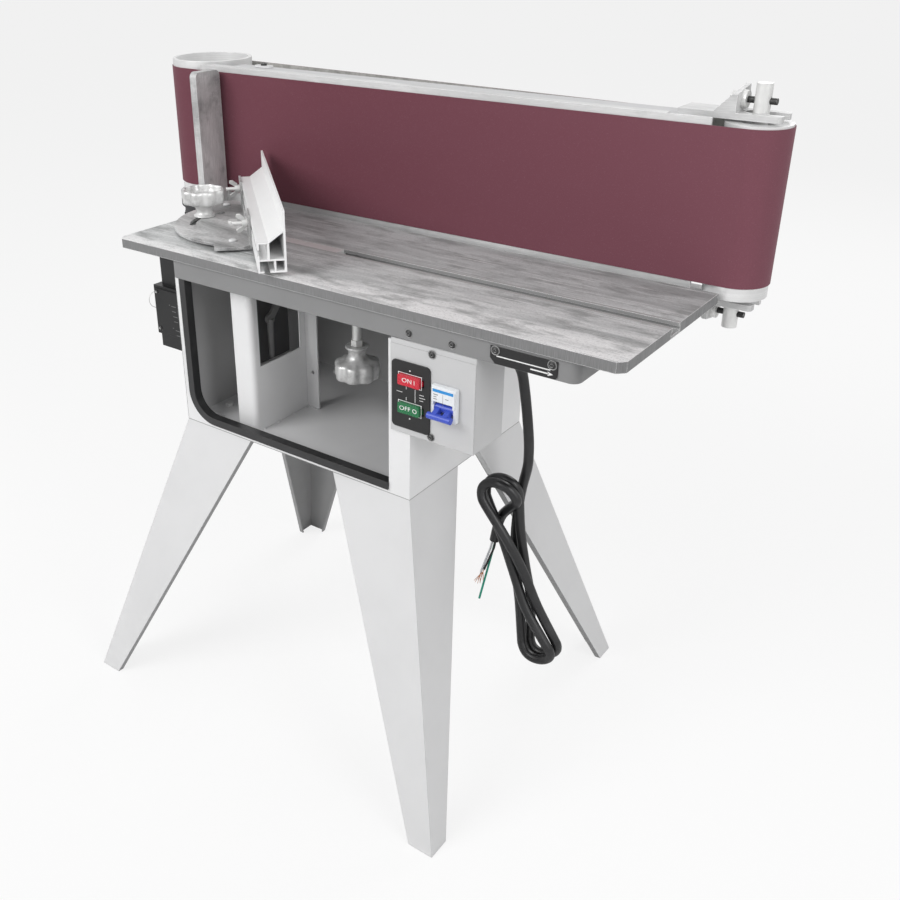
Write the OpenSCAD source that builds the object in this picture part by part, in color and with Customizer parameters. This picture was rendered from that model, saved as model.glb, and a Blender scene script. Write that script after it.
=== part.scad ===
// Horizontal and vertical belt sander: an edge sander whose head tilts back.
// Millimetres, +Z up, floor at Z = 0. The belt's working face looks towards -Y.

/* [Belt and drums] */
// Width of the sanding belt
belt_w = 200; // [150:1:220]
// Thickness of the sanding belt
belt_t = 1.5; // [1:0.1:2.5]
// Distance between the two drum axes
drum_pitch = 975; // [900:1:1050]
// Diameter of the drive drum
drive_d = 138; // [120:1:150]
// Diameter of the idler drum
idler_d = 83; // [76:1:90]
// Wall of the drive drum's tube
drive_wall = 6; // [4:0.5:9]
// Wall of the idler drum's tube
idler_wall = 5; // [4:0.5:7]
// Length of the drive drum above the belt
drive_above = 12; // [6:1:14]
// Length of each drum below the belt
drum_below = 18; // [14:1:20]
// Length of the idler drum above the belt
idler_above = 3; // [2:0.5:4]
// Diameter of the drive shaft
shaft_d = 24; // [20:1:28]
// Diameter of the idler axle
axle_d = 20; // [18:0.5:22]
// Travel of the idler when the belt is let loose
idler_travel = 7; // [4:0.5:8]

/* [Table] */
// Height of the table's face above the floor
table_h = 748; // [720:1:800]
// Length of the table along the belt
table_len = 835; // [780:5:860]
// Depth of the table from front to back
table_d = 284; // [270:1:300]
// Thickness of the table
table_t = 14; // [12:0.5:16]
// Distance of the table's left end from the drive drum's axis
table_left = 136; // [130:1:145]
// Gap between the table and the belt
table_gap = 6; // [4:0.5:10]
// Height of the belt's lower edge over the table
belt_lift = 7; // [5:0.5:10]
// Chamfer of the table's front corners
table_chamfer = 9; // [5:1:14]
// Distance of the tee slot from the belt
slot_y = 145; // [135:1:155]
// Width of the slot's mouth
slot_w = 20; // [18:0.5:22]
// Width of the slot's wide lower part
slot_tee_w = 27; // [25:0.5:30]
// Depth of the slot
slot_depth = 10; // [9:0.5:11]
// Height of the slot's wide lower part
slot_tee_h = 5; // [4:0.5:6]
// Forward travel of the table
table_travel = 40; // [20:5:45]

/* [Underframe and cabinet] */
// Height of the underframe's rails
rail_h = 28; // [24:1:32]
// Thickness of the rails
rail_t = 6; // [5:0.5:8]
// Length of the underframe
rail_len = 671; // [650:1:690]
// Depth of the underframe
rail_d = 256; // [250:1:262]
// Distance of the rails behind the table's front edge
rail_back = 4; // [2:0.5:6]
// Distance of the underframe's left end from the table's left end
rail_inset = 109; // [100:1:115]
// Outer radius of the underframe's corners
rail_r = 12; // [8:1:16]
// Width of the cabinet
cab_w = 432; // [420:1:440]
// Depth of the cabinet
cab_d = 299; // [290:1:305]
// Height of the cabinet
cab_h = 236; // [220:1:250]
// Thickness of the cabinet's sheet
sheet_t = 2.5; // [2:0.5:3]
// Distance of the cabinet's left side from the table's left end
cab_inset = 113; // [110:1:118]
// Width of the strip left of the window
strip_left = 15; // [14:1:18]
// Width of the strip right of the window
strip_right = 35; // [30:1:40]
// Height of the strip below the window
strip_low = 10; // [8:1:12]
// Radius of the window's lower corner
window_r = 46; // [35:1:55]
// Width of the flange that turns in at the cabinet's top
flange_w = 20; // [18:1:24]
// Width of the column's front flange
column_front = 37; // [32:1:42]
// Depth of the column's web
column_d = 120; // [100:5:140]
// Width of the column's rear flange
column_rear = 24; // [20:1:30]
// Distance of the column's web from the cabinet's left side
column_x = 127; // [120:1:134]

/* [Legs] */
// Outward lean of each foot along the machine
splay_x = 136; // [120:1:145]
// Outward lean of each foot across the machine
splay_y = 134; // [120:1:140]
// Width of a leg's wide face at the top
leg_top_w = 135; // [120:1:140]
// Width of a leg's side face at the top
leg_top_d = 121; // [110:1:125]
// Width of a leg's wide face at the floor
leg_foot_w = 40; // [34:1:46]
// Width of a leg's side face at the floor
leg_foot_d = 36; // [32:1:42]
// Thickness of a leg's sheet
leg_t = 3; // [2.5:0.5:4]
// Depth of the lip along a leg's inner edges
leg_lip = 9; // [7:1:12]
// Diameter of the leg bolts
leg_bolt_d = 8; // [6:1:10]

/* [Controls] */
// Width of the control box behind its cover
box_w = 100; // [90:1:104]
// Width of the control box's cover
cover_w = 129; // [126:1:134]
// Height of the control box
box_h = 133; // [128:1:140]
// Depth of the control box
box_d = 68; // [60:1:75]
// Thickness of the cover
cover_t = 2; // [1.5:0.5:3]
// Width of the switch plate
switch_w = 60; // [56:1:62]
// Height of the switch plate
switch_h = 95; // [90:1:98]
// Width of a switch key
key_w = 34; // [30:1:38]
// Height of a switch key
key_h = 15; // [13:1:17]
// Travel of a switch key
key_travel = 3; // [2:0.5:4]
// Width of the circuit breaker's front
breaker_w = 37; // [34:1:38]
// Height of the circuit breaker's front
breaker_h = 46; // [44:1:48]
// Width of the direction plate
arrow_w = 90; // [80:1:100]
// Height of the direction plate
arrow_h = 22; // [18:1:24]

/* [Miter gauge and fence] */
// Place of the clamp knob along the table, from the table's left end
knob_x = 41; // [36:1:60]
// Radius of the arc slot in the miter plate
miter_r = 62; // [58:1:64]
// Angle of the fence from square to the belt at rest
miter_angle = 47; // [40:1:50]
// Length of the miter bar
miter_bar_len = 316; // [280:2:340]
// Length of the miter plate along the fence
miter_plate_len = 274; // [260:2:290]
// Thickness of the miter plate
miter_plate_t = 4; // [3:0.5:5]
// Length of the fence
fence_len = 390; // [370:5:400]
// Width of the fence's profile
fence_w = 39; // [37:0.5:42]
// Height of the fence's working wall
fence_h = 85; // [78:1:90]
// Height of the fence's box
fence_box_h = 43; // [40:1:46]
// Wall of the fence's profile
fence_wall = 2.5; // [2:0.5:3]
// Distance of the fence's far end beyond the miter pivot
fence_lead = 128; // [120:1:129]
// Diameter of the star knobs
star_d = 68; // [60:1:72]

/* [Head] */
// Depth of the head beam
beam_d = 50; // [40:1:52]
// Wall of the head beam
beam_wall = 4; // [3:0.5:6]
// Thickness of the platen
platen_t = 3; // [2:0.5:3]
// Gap between the platen and the back of the belt
platen_gap = 0.5; // [0.3:0.1:1]
// Left end of the platen from the drive drum's axis
platen_left = 40; // [36:1:50]
// Gap between the platen's right end and the idler drum
platen_end_gap = 4; // [3:0.5:12]
// Thickness of the fork plates
fork_t = 8; // [6:0.5:8]
// Width of the fork plates
fork_w = 46; // [42:1:50]
// Reach of the fork past the idler's axis
fork_reach = 32; // [28:1:40]
// Diameter of the tension bolts
tension_d = 8; // [6:1:10]
// Thickness of the plate that carries the motor
drive_plate_t = 12; // [10:1:14]
// Diameter of the motor's body
motor_d = 146; // [130:2:150]
// Length of the motor's body
motor_len = 240; // [200:5:250]
// Width of the stop bar
stop_w = 54; // [44:1:56]
// Thickness of the stop bar
stop_t = 14; // [8:1:16]
// Gap between the stop bar and the belt
stop_gap = 7; // [5:0.5:9]
// Distance of the tilt pivot behind the belt's face
pivot_back = 70; // [66:1:74]
// Distance of the tilt pivot below the belt's lower edge
pivot_drop = 45; // [42:1:48]
// Diameter of the tilt pins
tilt_pin_d = 16; // [12:1:18]
// Radius of the arc slot in the lock quadrant
lock_r = 66; // [62:1:67]
// Diameter of the bolt that clamps the quadrant
lock_bolt_d = 8; // [6:1:8]

/* [Clearances] */
// Radial clearance of a shaft in its bore
fit = 0.05; // [0.02:0.01:0.09]
// Gap between pieces that slide on each other
slip = 0.3; // [0.3:0.05:0.5]
// Clearance of a bolt in its hole
bolt_gap = 0.3; // [0.2:0.05:0.5]

/* [Cord] */
// Diameter of the power cord
cord_d = 15; // [13:0.5:16]

/* [Hidden] */
$fn = 64;

// Heights of the main parts
belt_z = table_h + belt_lift;
belt_top = belt_z + belt_w;
rail_top = table_h - table_t - slip;
cab_top = rail_top - rail_h;
cab_z = cab_top - cab_h;

// Plan of the table, the underframe and the cabinet
table_back = -table_gap;
table_front = table_back - table_d;
table_right = table_left + table_len;
rail_front = table_front + rail_back;
rail_left = table_left + rail_inset;
rail_right = rail_left + rail_len;
cab_left = table_left + cab_inset;
cab_right = cab_left + cab_w;
cab_front = rail_front + 2.5;
cab_back = cab_front + cab_d;
web_x = cab_left + column_x;
column_front_y = cab_front + 24;

// The drums' axes stand behind the belt's face
drive_r = drive_d / 2;
idler_r = idler_d / 2;
wrap_gap = 2 * fit;
drive_belt_r = drive_r + wrap_gap + belt_t;
idler_belt_r = idler_r + wrap_gap + belt_t;
drive_y = drive_belt_r;
idler_y = idler_belt_r;
drum_z = belt_z - drum_below;
idler_top = belt_top + idler_above;

// The head
beam_y = 12;
beam_top = idler_top + 3;
plate_top = drum_z - 4;
plate_z = plate_top - drive_plate_t;
beam_left = drive_r + 16;
beam_right = drum_pitch - idler_r - 38;
platen_y = belt_t + platen_gap;
platen_right = drum_pitch - idler_r - platen_end_gap;
fork_front = idler_y - fork_w / 2;
fork_back = idler_y + fork_w / 2;
fork_low_top = plate_top - 3;
fork_tip = drum_pitch + fork_reach;
tension_nut_h = 6;
end_plate_t = 6;
end_plate_h = 30;
end_plate_front_h = 22;
fork_lap = 18;
gusset_foot = 28;
end_plate_x = drum_pitch - axle_d / 2 - idler_travel - tension_nut_h - 1;
tension_z_top = beam_top + fork_t + 14;
tension_z_low = fork_low_top - fork_t - 14;
motor_top = plate_z;
pivot_y = pivot_back;
pivot_z = belt_z - pivot_drop;
boss_r = 22;
arm_t = 10;
cheek_t = 6;
arm_x = [cab_left + 78, cab_right - 60];
stop_x = drive_r + 10;

// The tilt lock's bolt goes through the cabinet's left side
lock_angle = 193;
lock_y = pivot_y + lock_r * cos(lock_angle);
lock_z = pivot_z + lock_r * sin(lock_angle);
quadrant_x = cab_left - 13;
quadrant_t = 6;

// The miter gauge in its own plan: u runs along the fence, w towards the work
knob_at = [table_left + knob_x, -slot_y];
pivot_at = [knob_at[0] + miter_r, -slot_y];
miter_plate_z = table_h + 4;
bracket_t = 3;
fence_z = miter_plate_z + 2.5;
tee_bolt_d = 6;
fence_back_w = 22 + slip;
tee_z = fence_z + 28.5;
wing_u = 107;
// The stud's place in the plate's arc slot, at the two ends of the swing
miter_swing = [-47, 30];
slot_a0 = 90 - miter_angle - miter_swing[1];
slot_a1 = 90 - miter_angle - miter_swing[0];

// The control box hangs under the front rail
box_left = cab_right + slip;
box_top = cab_top;
box_z = box_top - box_h;
box_front = rail_front + 1;
cover_left = box_left + box_w - cover_w;
cover_front = box_front - cover_t;
switch_x = cover_left + 3;
switch_z = box_top - 124;
key_x = switch_x + 12;
on_z = switch_z + 63;
off_z = switch_z + 23;
breaker_x = cover_left + 69;
breaker_z = box_top - 93;
screw_x = cover_left + cover_w / 2;
screw_d = 5;
cover_screws_z = [box_top - 10, box_top - 126];

// Feet, and the outline on the floor that the origin is centred on
foot_left = cab_left - splay_x;
foot_right = cab_right + splay_x;
foot_front = cab_front - splay_y;
foot_back = cab_back + splay_y;
terminal_left = -165;
mid_x = (terminal_left + max(fork_tip, drum_pitch + idler_belt_r, foot_right)) / 2;
mid_y = (foot_front + max(foot_back, drive_y + drive_belt_r)) / 2;

// The power cord's route from its gland, in the frame of the drive drum's axis and the belt
cord_exit = [cover_left + 85.7, box_front + box_d + 1, cab_top - 50.7];
cord_steps = [
    [0, 0, 0], [0, 36, 0], [2, 66, -3], [6, 91, -15], [10, 106, -37], [13, 112, -65],
    [17, 114, -95], [21, 114, -122], [24, 114, -147], [25, 114, -169], [24, 114, -190]
];
cord_route = [for (p = cord_steps) cord_exit + p];

function polar(a) = [cos(a), sin(a)];
module placed() translate([-mid_x, -mid_y, 0]) children();
module box_at(low, high) translate(low) cube(high - low);
module pin_x(x, y, z, d, len) translate([x, y, z]) rotate([0, 90, 0]) cylinder(d = d, h = len);
module pin_y(x, y, z, d, len) translate([x, y, z]) rotate([-90, 0, 0]) cylinder(d = d, h = len);
module pin_z(x, y, z, d, len) translate([x, y, z]) cylinder(d = d, h = len);
// A plate whose outline is drawn in y and z, standing square to x
module plate_yz(x, t) translate([x, 0, 0]) rotate([90, 0, 90]) linear_extrude(t) children();
// A plate whose outline is drawn in x and z, reaching back from y
module plate_xz(y, t) translate([0, y + t, 0]) rotate([90, 0, 0]) linear_extrude(t) children();
module hex_z(x, y, z, across, h) translate([x, y, z]) cylinder(d = across / cos(30), h = h, $fn = 6);
module hex_x(x, y, z, across, h)
    translate([x, y, z]) rotate([0, 90, 0]) cylinder(d = across / cos(30), h = h, $fn = 6);
// The miter gauge's own frame
module on_miter() translate([pivot_at[0], pivot_at[1], 0]) rotate(90 + miter_angle) children();

// Cabinet

module window_shape(grow) {
    left = cab_left + strip_left - grow;
    low = cab_z + strip_low - grow;
    r = window_r + grow;
    difference() {
        translate([left, low]) square([cab_right - strip_right - left, cab_top - low]);
        difference() {
            translate([left - 1, low - 1]) square([r + 1, r + 1]);
            translate([left + r, low + r]) circle(r);
        }
    }
}

// Two bolts hold each leg, at these distances from the cabinet's corner
leg_bolts_at = [[22, 70], [80, 22]];
module leg_bolt_places() {
    for (sx = [0, 1], sy = [0, 1], p = leg_bolts_at)
        translate([sx ? cab_right - p[0] : cab_left + p[0], sy ? cab_back - p[1] : cab_front + p[1], cab_z])
            children();
}

frame_bolt_d = 8;
cab_mid_y = (cab_front + cab_back) / 2;
module frame_bolt_places() {
    for (x = [cab_left + 60, cab_right - 90])
        translate([x, rail_front + rail_d - 13, cab_top]) children();
    translate([cab_left + 10, cab_mid_y, cab_top]) children();
    translate([cab_right - 10, cab_mid_y - 20, cab_top]) children();
}

bay_front = 130;
bay_w = 114;
bay_low = cab_top - 200;
clamp_plate_t = 2;
module cabinet_shell() color("whitesmoke") placed() {
    difference() {
        box_at([cab_left, cab_front, cab_z], [cab_right, cab_back, cab_top]);
        box_at([cab_left + sheet_t, cab_front + sheet_t, cab_z + sheet_t],
            [cab_right - sheet_t, cab_back - sheet_t, cab_top - sheet_t]);
        // Opening at the top inside the flange
        box_at([cab_left + flange_w, cab_front - 1, cab_top - 2 * sheet_t],
            [cab_right - flange_w, cab_back - 4 * flange_w, cab_top + 1]);
        // Front window
        plate_xz(cab_front - 1, sheet_t + 2) window_shape(0);
        box_at([cab_left + strip_left, cab_front - 1, cab_z + strip_low + window_r],
            [cab_right - strip_right, cab_front + flange_w, cab_top + 1]);
        // Opening in the left side behind the column, under the clamp's plate
        plate_yz(cab_left - 1, sheet_t + 2)
            translate([cab_front + bay_front, bay_low]) square([bay_w, cab_top - 14 - bay_low]);
        pin_x(cab_left - 1, lock_y, lock_z, lock_bolt_d + 2 * bolt_gap, sheet_t + 2);
        // Long hole in the floor
        for (dx = [0, 14]) pin_z(cab_left + 28 + dx, cab_front + 34, cab_z - 1, 9, sheet_t + 2);
        box_at([cab_left + 28, cab_front + 29.5, cab_z - 1],
            [cab_left + 42, cab_front + 38.5, cab_z + sheet_t + 1]);
        leg_bolt_places() translate([0, 0, -1]) cylinder(d = leg_bolt_d + 2 * bolt_gap, h = sheet_t + 2);
        frame_bolt_places() translate([0, 0, -10]) cylinder(d = frame_bolt_d + 2 * bolt_gap, h = 12);
        for (x = arm_x, dz = bracket_bolts_dz)
            pin_y(x, cab_back - 5, pivot_z - dz, bracket_bolt_d + 2 * bolt_gap, 8);
    }
    // Plate welded over that opening from outside, which carries the clamp bolt
    difference() {
        plate_yz(cab_left - clamp_plate_t, clamp_plate_t + 0.5)
            translate([cab_front + bay_front - 12, bay_low - 12])
                square([bay_w + 24, cab_top - 6 - bay_low]);
        pin_x(cab_left - 10, lock_y, lock_z, lock_bolt_d + 2 * bolt_gap, 20);
    }
}

module window_trim() color("dimgray") placed() difference() {
    plate_xz(cab_front - 3, 14) difference() {
        window_shape(4);
        window_shape(-8);
        translate([cab_right - strip_right - 8, cab_z + 20]) square([20, cab_h]);
    }
    plate_xz(cab_front, sheet_t) difference() {
        window_shape(10);
        window_shape(0);
    }
    box_at([cab_right - strip_right - slip, cab_front - 5, cab_z],
        [cab_right, cab_front + flange_w, cab_top]);
    box_at([cab_left, cab_front + sheet_t, cab_top - sheet_t],
        [cab_left + strip_left, cab_front + flange_w, cab_top + 1]);
}

module column() color("gainsboro") placed() {
    low = cab_z + sheet_t;
    bend = 9;
    difference() {
        translate([0, 0, low]) linear_extrude(cab_top - low) {
            translate([web_x - column_front, column_front_y]) square([column_front - bend, sheet_t]);
            translate([web_x - column_front, column_front_y]) square([sheet_t, 14]);
            translate([web_x - bend, column_front_y + bend]) intersection() {
                difference() {
                    circle(bend);
                    circle(bend - sheet_t);
                }
                translate([0, -bend]) square([bend, bend]);
            }
            translate([web_x - sheet_t, column_front_y + bend]) square([sheet_t, column_d - bend]);
            translate([web_x - sheet_t, column_front_y + column_d]) square([column_rear + sheet_t, sheet_t]);
        }
        // Cut-out in the web's upper half
        box_at([web_x - 10, column_front_y + 16, cab_top - 128],
            [web_x + 10, column_front_y + column_d - 12, cab_top - 20]);
        pin_y(web_x + 13, column_front_y + column_d - 5, low + 62, 6, 12);
    }
}

// Legs: two leaning plates that meet on the outer corner, drawn for the right front corner

// One sloping side of a leg, its outer face on the XZ plane before it leans. The outline runs past
// the floor, the cabinet and the corner, and is cut there
module leg_side(w_top, w_foot, out, lean) {
    slant = sqrt(cab_z * cab_z + lean * lean);
    past_ends = 12;
    past_corner = 20;
    k = past_ends / slant;
    inner_top = -w_top - k * (out - w_foot + w_top);
    inner_low = out - w_foot + k * (out - w_foot + w_top);
    low = -slant - past_ends;
    rotate([-atan(lean / cab_z), 0, 0]) rotate([90, 0, 0]) {
        translate([0, 0, -leg_t]) linear_extrude(leg_t) polygon([
            [inner_top, past_ends], [past_corner, past_ends],
            [out * (1 + k) + past_corner, low], [inner_low, low]
        ]);
        // Lip along the inner edge
        translate([0, 0, -leg_lip]) linear_extrude(leg_lip) polygon([
            [inner_top, past_ends], [inner_top + leg_t, past_ends],
            [inner_low + leg_t, low], [inner_low, low]
        ]);
    }
}

// All that lies inward of a leaning side
module inward_of(lean) rotate([-atan(lean / cab_z), 0, 0])
    translate([-cab_z, 0, -2 * cab_z]) cube([2 * cab_z, cab_z, 3 * cab_z]);
module across() rotate(90) mirror([1, 0, 0]) children();

leg_plate_t = 4;
module leg_form() difference() {
    union() {
        intersection() {
            translate([0, 0, cab_z]) {
                intersection() {
                    leg_side(leg_top_w, leg_foot_w, splay_x, splay_y);
                    across() inward_of(splay_x);
                }
                intersection() {
                    across() leg_side(leg_top_d, leg_foot_d, splay_y, splay_x);
                    inward_of(splay_y);
                }
            }
            translate([-cab_z, -cab_z, 0]) cube([2 * cab_z, 2 * cab_z, cab_z]);
        }
        // Top plate that the cabinet stands on
        translate([0, 0, cab_z - leg_plate_t]) linear_extrude(leg_plate_t) polygon([
            [-leg_top_w + 2, 2], [-2, 2], [-2, leg_top_d - 2], [-40, leg_top_d - 2], [-leg_top_w + 2, 40]
        ]);
    }
    for (p = leg_bolts_at)
        translate([-p[0], p[1], cab_z - 10]) cylinder(d = leg_bolt_d + 2 * bolt_gap, h = 12);
}

module leg_front_right() color("white") placed() translate([cab_right, cab_front, 0]) leg_form();
module leg_front_left() color("white") placed()
    translate([cab_left, cab_front, 0]) mirror([1, 0, 0]) leg_form();
module leg_rear_right() color("white") placed()
    translate([cab_right, cab_back, 0]) mirror([0, 1, 0]) leg_form();
module leg_rear_left() color("white") placed()
    translate([cab_left, cab_back, 0]) mirror([1, 0, 0]) mirror([0, 1, 0]) leg_form();

module leg_bolts() color("silver") placed() leg_bolt_places() {
    translate([0, 0, -14]) cylinder(d = leg_bolt_d, h = 14 + sheet_t);
    translate([0, 0, sheet_t]) cylinder(d = 1.8 * leg_bolt_d, h = 5, $fn = 6);
    translate([0, 0, -leg_plate_t - 6.5]) cylinder(d = 1.8 * leg_bolt_d, h = 6.5, $fn = 6);
}

// Underframe

module rail_outline(inset) {
    r = rail_r - inset;
    x0 = rail_left + inset;
    x1 = rail_right - inset;
    y0 = rail_front + inset;
    y1 = rail_front + rail_d - inset;
    union() {
        translate([x0 + r, y0]) square([x1 - x0 - 2 * r, y1 - y0]);
        translate([x0, y0 + r]) square([x1 - x0, y1 - y0 - 2 * r]);
        for (x = [x0 + r, x1 - r], y = [y0 + r, y1 - r]) translate([x, y]) circle(r);
    }
}

foot_w = 24;
foot_d = 20;
foot_t = 6;
bar_w = 50;
bar_t = 8;
module underframe() color("darkgray") placed() difference() {
    union() {
        translate([0, 0, cab_top]) linear_extrude(rail_h) difference() {
            rail_outline(0);
            rail_outline(rail_t);
        }
        // Cross bars, the second with the slot of the table's clamp
        for (x = [cab_left + 40, clamp_x - bar_w / 2, cab_right - 36])
            box_at([x, rail_front + rail_t - 0.5, rail_top - bar_t],
                [x + bar_w, rail_front + rail_d - rail_t + 0.5, rail_top]);
        // Feet that stand on the cabinet's flange, the last one hung from the third cross bar
        frame_bolt_places() translate([-foot_w / 2, -foot_d / 2, 0]) cube([foot_w, foot_d, foot_t]);
        for (dy = [-1, 1]) translate([cab_right - 10, cab_mid_y - 20 + dy * (foot_d / 2 + 2.5), cab_top])
            translate([-foot_w / 2, -2.5, 0]) cube([foot_w, 5, rail_h - 6]);
    }
    for (dy = [-table_travel, 0])
        pin_z(clamp_x, clamp_y + dy, rail_top - 20, stud_d + 2 * slip, 30);
    box_at([clamp_x - stud_d / 2 - slip, clamp_y - table_travel, rail_top - 20],
        [clamp_x + stud_d / 2 + slip, clamp_y, rail_top + 1]);
    frame_bolt_places() translate([0, 0, -5]) cylinder(d = frame_bolt_d + 2 * bolt_gap, h = 12);
    for (p = rail_screws_at) pin_y(p[0], rail_front - 1, p[1], screw_d + 2 * bolt_gap, rail_t + 2);
}

module frame_bolts() color("dimgray") placed() frame_bolt_places() {
    translate([0, 0, -14]) cylinder(d = frame_bolt_d, h = 14 + foot_t);
    translate([0, 0, foot_t]) cylinder(d = 14, h = 5, $fn = 6);
    translate([0, 0, -sheet_t - 6]) cylinder(d = 14, h = 6, $fn = 6);
}

// Controls

box_t = 2;
module control_box() color("lightgray") placed() difference() {
    box_at([box_left, box_front, box_z], [box_left + box_w, box_front + box_d, box_top]);
    box_at([box_left + box_t, box_front - 1, box_z + box_t],
        [box_left + box_w - box_t, box_front + box_d - box_t, box_top - box_t]);
    // Notch for the switch in the front edge of the left wall
    box_at([box_left - 1, box_front - 1, switch_z + 3],
        [box_left + box_t + 1, box_front + 2, switch_z + switch_h - 3]);
    pin_y(cord_exit[0], box_front + box_d - 4, cord_exit[2], gland_d + 2 * bolt_gap, 8);
}

module control_cover() color("lightgray") placed() difference() {
    union() {
        box_at([cover_left, cover_front, box_z], [box_left + box_w, box_front, box_top - 8]);
        plate_yz(cover_left, cover_w) polygon([
            [cover_front, box_top - 14], [box_front - 0.6, box_top - 1], [box_front, box_top - 1],
            [box_front, box_top - 14]
        ]);
    }
    box_at([switch_x + 4, cover_front - 1, switch_z + 4],
        [switch_x + switch_w - 4, box_front + 1, switch_z + switch_h - 4]);
    box_at([breaker_x - bolt_gap, cover_front - 1, breaker_z - bolt_gap],
        [breaker_x + breaker_w + bolt_gap, box_front + 1, breaker_z + breaker_h + bolt_gap]);
    for (z = cover_screws_z) pin_y(screw_x, cover_front - 1, z, screw_d + 2 * bolt_gap, cover_t + 2);
}

// Button-head screws: two on the cover, two on the front rail above it and two on the arrow plate
module button_screw(x, y, z, len) {
    pin_y(x, y, z, screw_d, len);
    translate([x, y, z]) rotate([90, 0, 0]) difference() {
        intersection() {
            cylinder(d = 2 * screw_d, h = 3);
            translate([0, 0, -4.6]) sphere(r = 7.2);
        }
        translate([0, 0, 1.2]) cylinder(d = 4.6, h = 3, $fn = 6);
    }
}

module cover_screws() color("dimgray") placed() {
    for (z = cover_screws_z) button_screw(screw_x, cover_front, z, 9);
    for (p = rail_screws_at) button_screw(p[0], rail_front - p[2], p[1], rail_t + p[2]);
}

module rounded_xz(x, z, w, h, r) {
    translate([x + r, z]) square([w - 2 * r, h]);
    translate([x, z + r]) square([w, h - 2 * r]);
    for (cx = [x + r, x + w - r], cz = [z + r, z + h - r]) translate([cx, cz]) circle(r);
}

// The switch stands half in front of the cabinet, so only its right half is deep
switch_deep_x = box_left + box_t + slip;
switch_end_x = switch_x + switch_w - 5;
shallow_y = cab_front - slip;
module switch_plate() color("black") placed() difference() {
    union() {
        plate_xz(cover_front - 2, 2) rounded_xz(switch_x, switch_z, switch_w, switch_h, 6);
        box_at([switch_x + 5, cover_front, switch_z + 5],
            [switch_end_x, shallow_y, switch_z + switch_h - 5]);
        box_at([switch_deep_x, cover_front, switch_z + 5],
            [switch_end_x, box_front + 42, switch_z + switch_h - 5]);
    }
    for (z = [on_z, off_z]) {
        box_at([key_x - slip, cover_front - 3, z - slip],
            [key_x + key_w + slip, shallow_y + 1, z + key_h + slip]);
        box_at([switch_deep_x + 2, cover_front - 3, z + 2],
            [switch_end_x - 4, box_front + 12, z + key_h - 2]);
    }
}

key_out = 6;
module key_form(z) difference() {
    union() {
        plate_xz(cover_front - key_out, shallow_y - slip - key_travel - cover_front + key_out)
            rounded_xz(key_x, z, key_w, key_h, 2);
        box_at([switch_deep_x + 4, cover_front - 2, z + 4],
            [switch_end_x - 6 - slip, box_front + 11 - key_travel, z + key_h - 4]);
    }
    // Dished face
    translate([key_x + key_w / 2, cover_front - key_out - 58, z + key_h / 2]) sphere(r = 59);
}
module on_key() color("crimson") placed() key_form(on_z);
module off_key() color("seagreen") placed() key_form(off_z);

breaker_front = cover_front - 7;
lever_y = cover_front - 1;
lever_z = breaker_z + 15;
module breaker_body() color("white") placed() difference() {
    union() {
        box_at([breaker_x, breaker_front, breaker_z],
            [breaker_x + breaker_w, box_front + 45, breaker_z + breaker_h]);
        box_at([breaker_x + 1.5, breaker_front - 2, breaker_z + 20],
            [breaker_x + breaker_w - 1.5, breaker_front, breaker_z + breaker_h - 3]);
    }
    // Well of the lever
    box_at([breaker_x + 4, breaker_front - 3, breaker_z + 5],
        [breaker_x + breaker_w - 4, cover_front + 9, breaker_z + 25]);
}

lever_angle = 25;
module on_breaker() translate([0, lever_y, lever_z]) rotate([lever_angle, 0, 0]) children();
module breaker_lever() color("royalblue") placed() on_breaker() {
    pin_x(breaker_x + 4 + slip, 0, 0, 12, breaker_w - 8 - 2 * slip);
    for (x = [breaker_x + 7, breaker_x + breaker_w - 14]) box_at([x, -17, -4.5], [x + 7, 0, 4.5]);
    pin_x(breaker_x + 1, -17, 0, 9, breaker_w - 2);
}

arrow_x = cover_left + 148;
arrow_z = cab_top + 1;
arrow_t = 1.5;
// Screws in the front rail: their x, their z and the thickness under the head
rail_screws_at = [
    [cover_left + 28, cab_top + 10, 0], [cover_left + 93, cab_top + 10, 0],
    [arrow_x + 7, arrow_z + arrow_h - 5, arrow_t], [arrow_x + arrow_w - 7, arrow_z + arrow_h - 5, arrow_t]
];
module arrow_plate() color("black") placed() difference() {
    plate_xz(rail_front - arrow_t, arrow_t) polygon([
        [arrow_x, arrow_z + arrow_h], [arrow_x, arrow_z + 7], [arrow_x + 7, arrow_z],
        [arrow_x + arrow_w - 3, arrow_z], [arrow_x + arrow_w, arrow_z + 3],
        [arrow_x + arrow_w, arrow_z + arrow_h]
    ]);
    for (p = rail_screws_at)
        pin_y(p[0], rail_front - 2 * arrow_t, p[1], screw_d + 2 * bolt_gap, 3 * arrow_t);
}

gland_d = 20;
module cable_gland() color("dimgray") placed() difference() {
    union() {
        pin_y(cord_exit[0], cord_exit[1] - 14, cord_exit[2], gland_d, 14);
        translate([cord_exit[0], box_front + box_d, cord_exit[2]]) rotate([-90, 0, 0])
            cylinder(d = 27, h = 6, $fn = 6);
        pin_y(cord_exit[0], cord_exit[1], cord_exit[2], 23, 12);
        translate([cord_exit[0], box_front + box_d - 2, cord_exit[2]]) rotate([90, 0, 0])
            cylinder(d = 27, h = 4, $fn = 6);
    }
    pin_y(cord_exit[0], cord_exit[1], cord_exit[2], cord_d + 2 * slip, 20);
}

// Cord: a tube swept along points

function add_all(v, i = 0) = i >= len(v) ? 0 : v[i] + add_all(v, i + 1);
function unit(v) = v / norm(v);
function tangent_at(p, i) =
    i == 0 ? unit(p[1] - p[0]) :
    i == len(p) - 1 ? unit(p[i] - p[i - 1]) :
    unit(unit(p[i + 1] - p[i]) + unit(p[i] - p[i - 1]));
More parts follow.
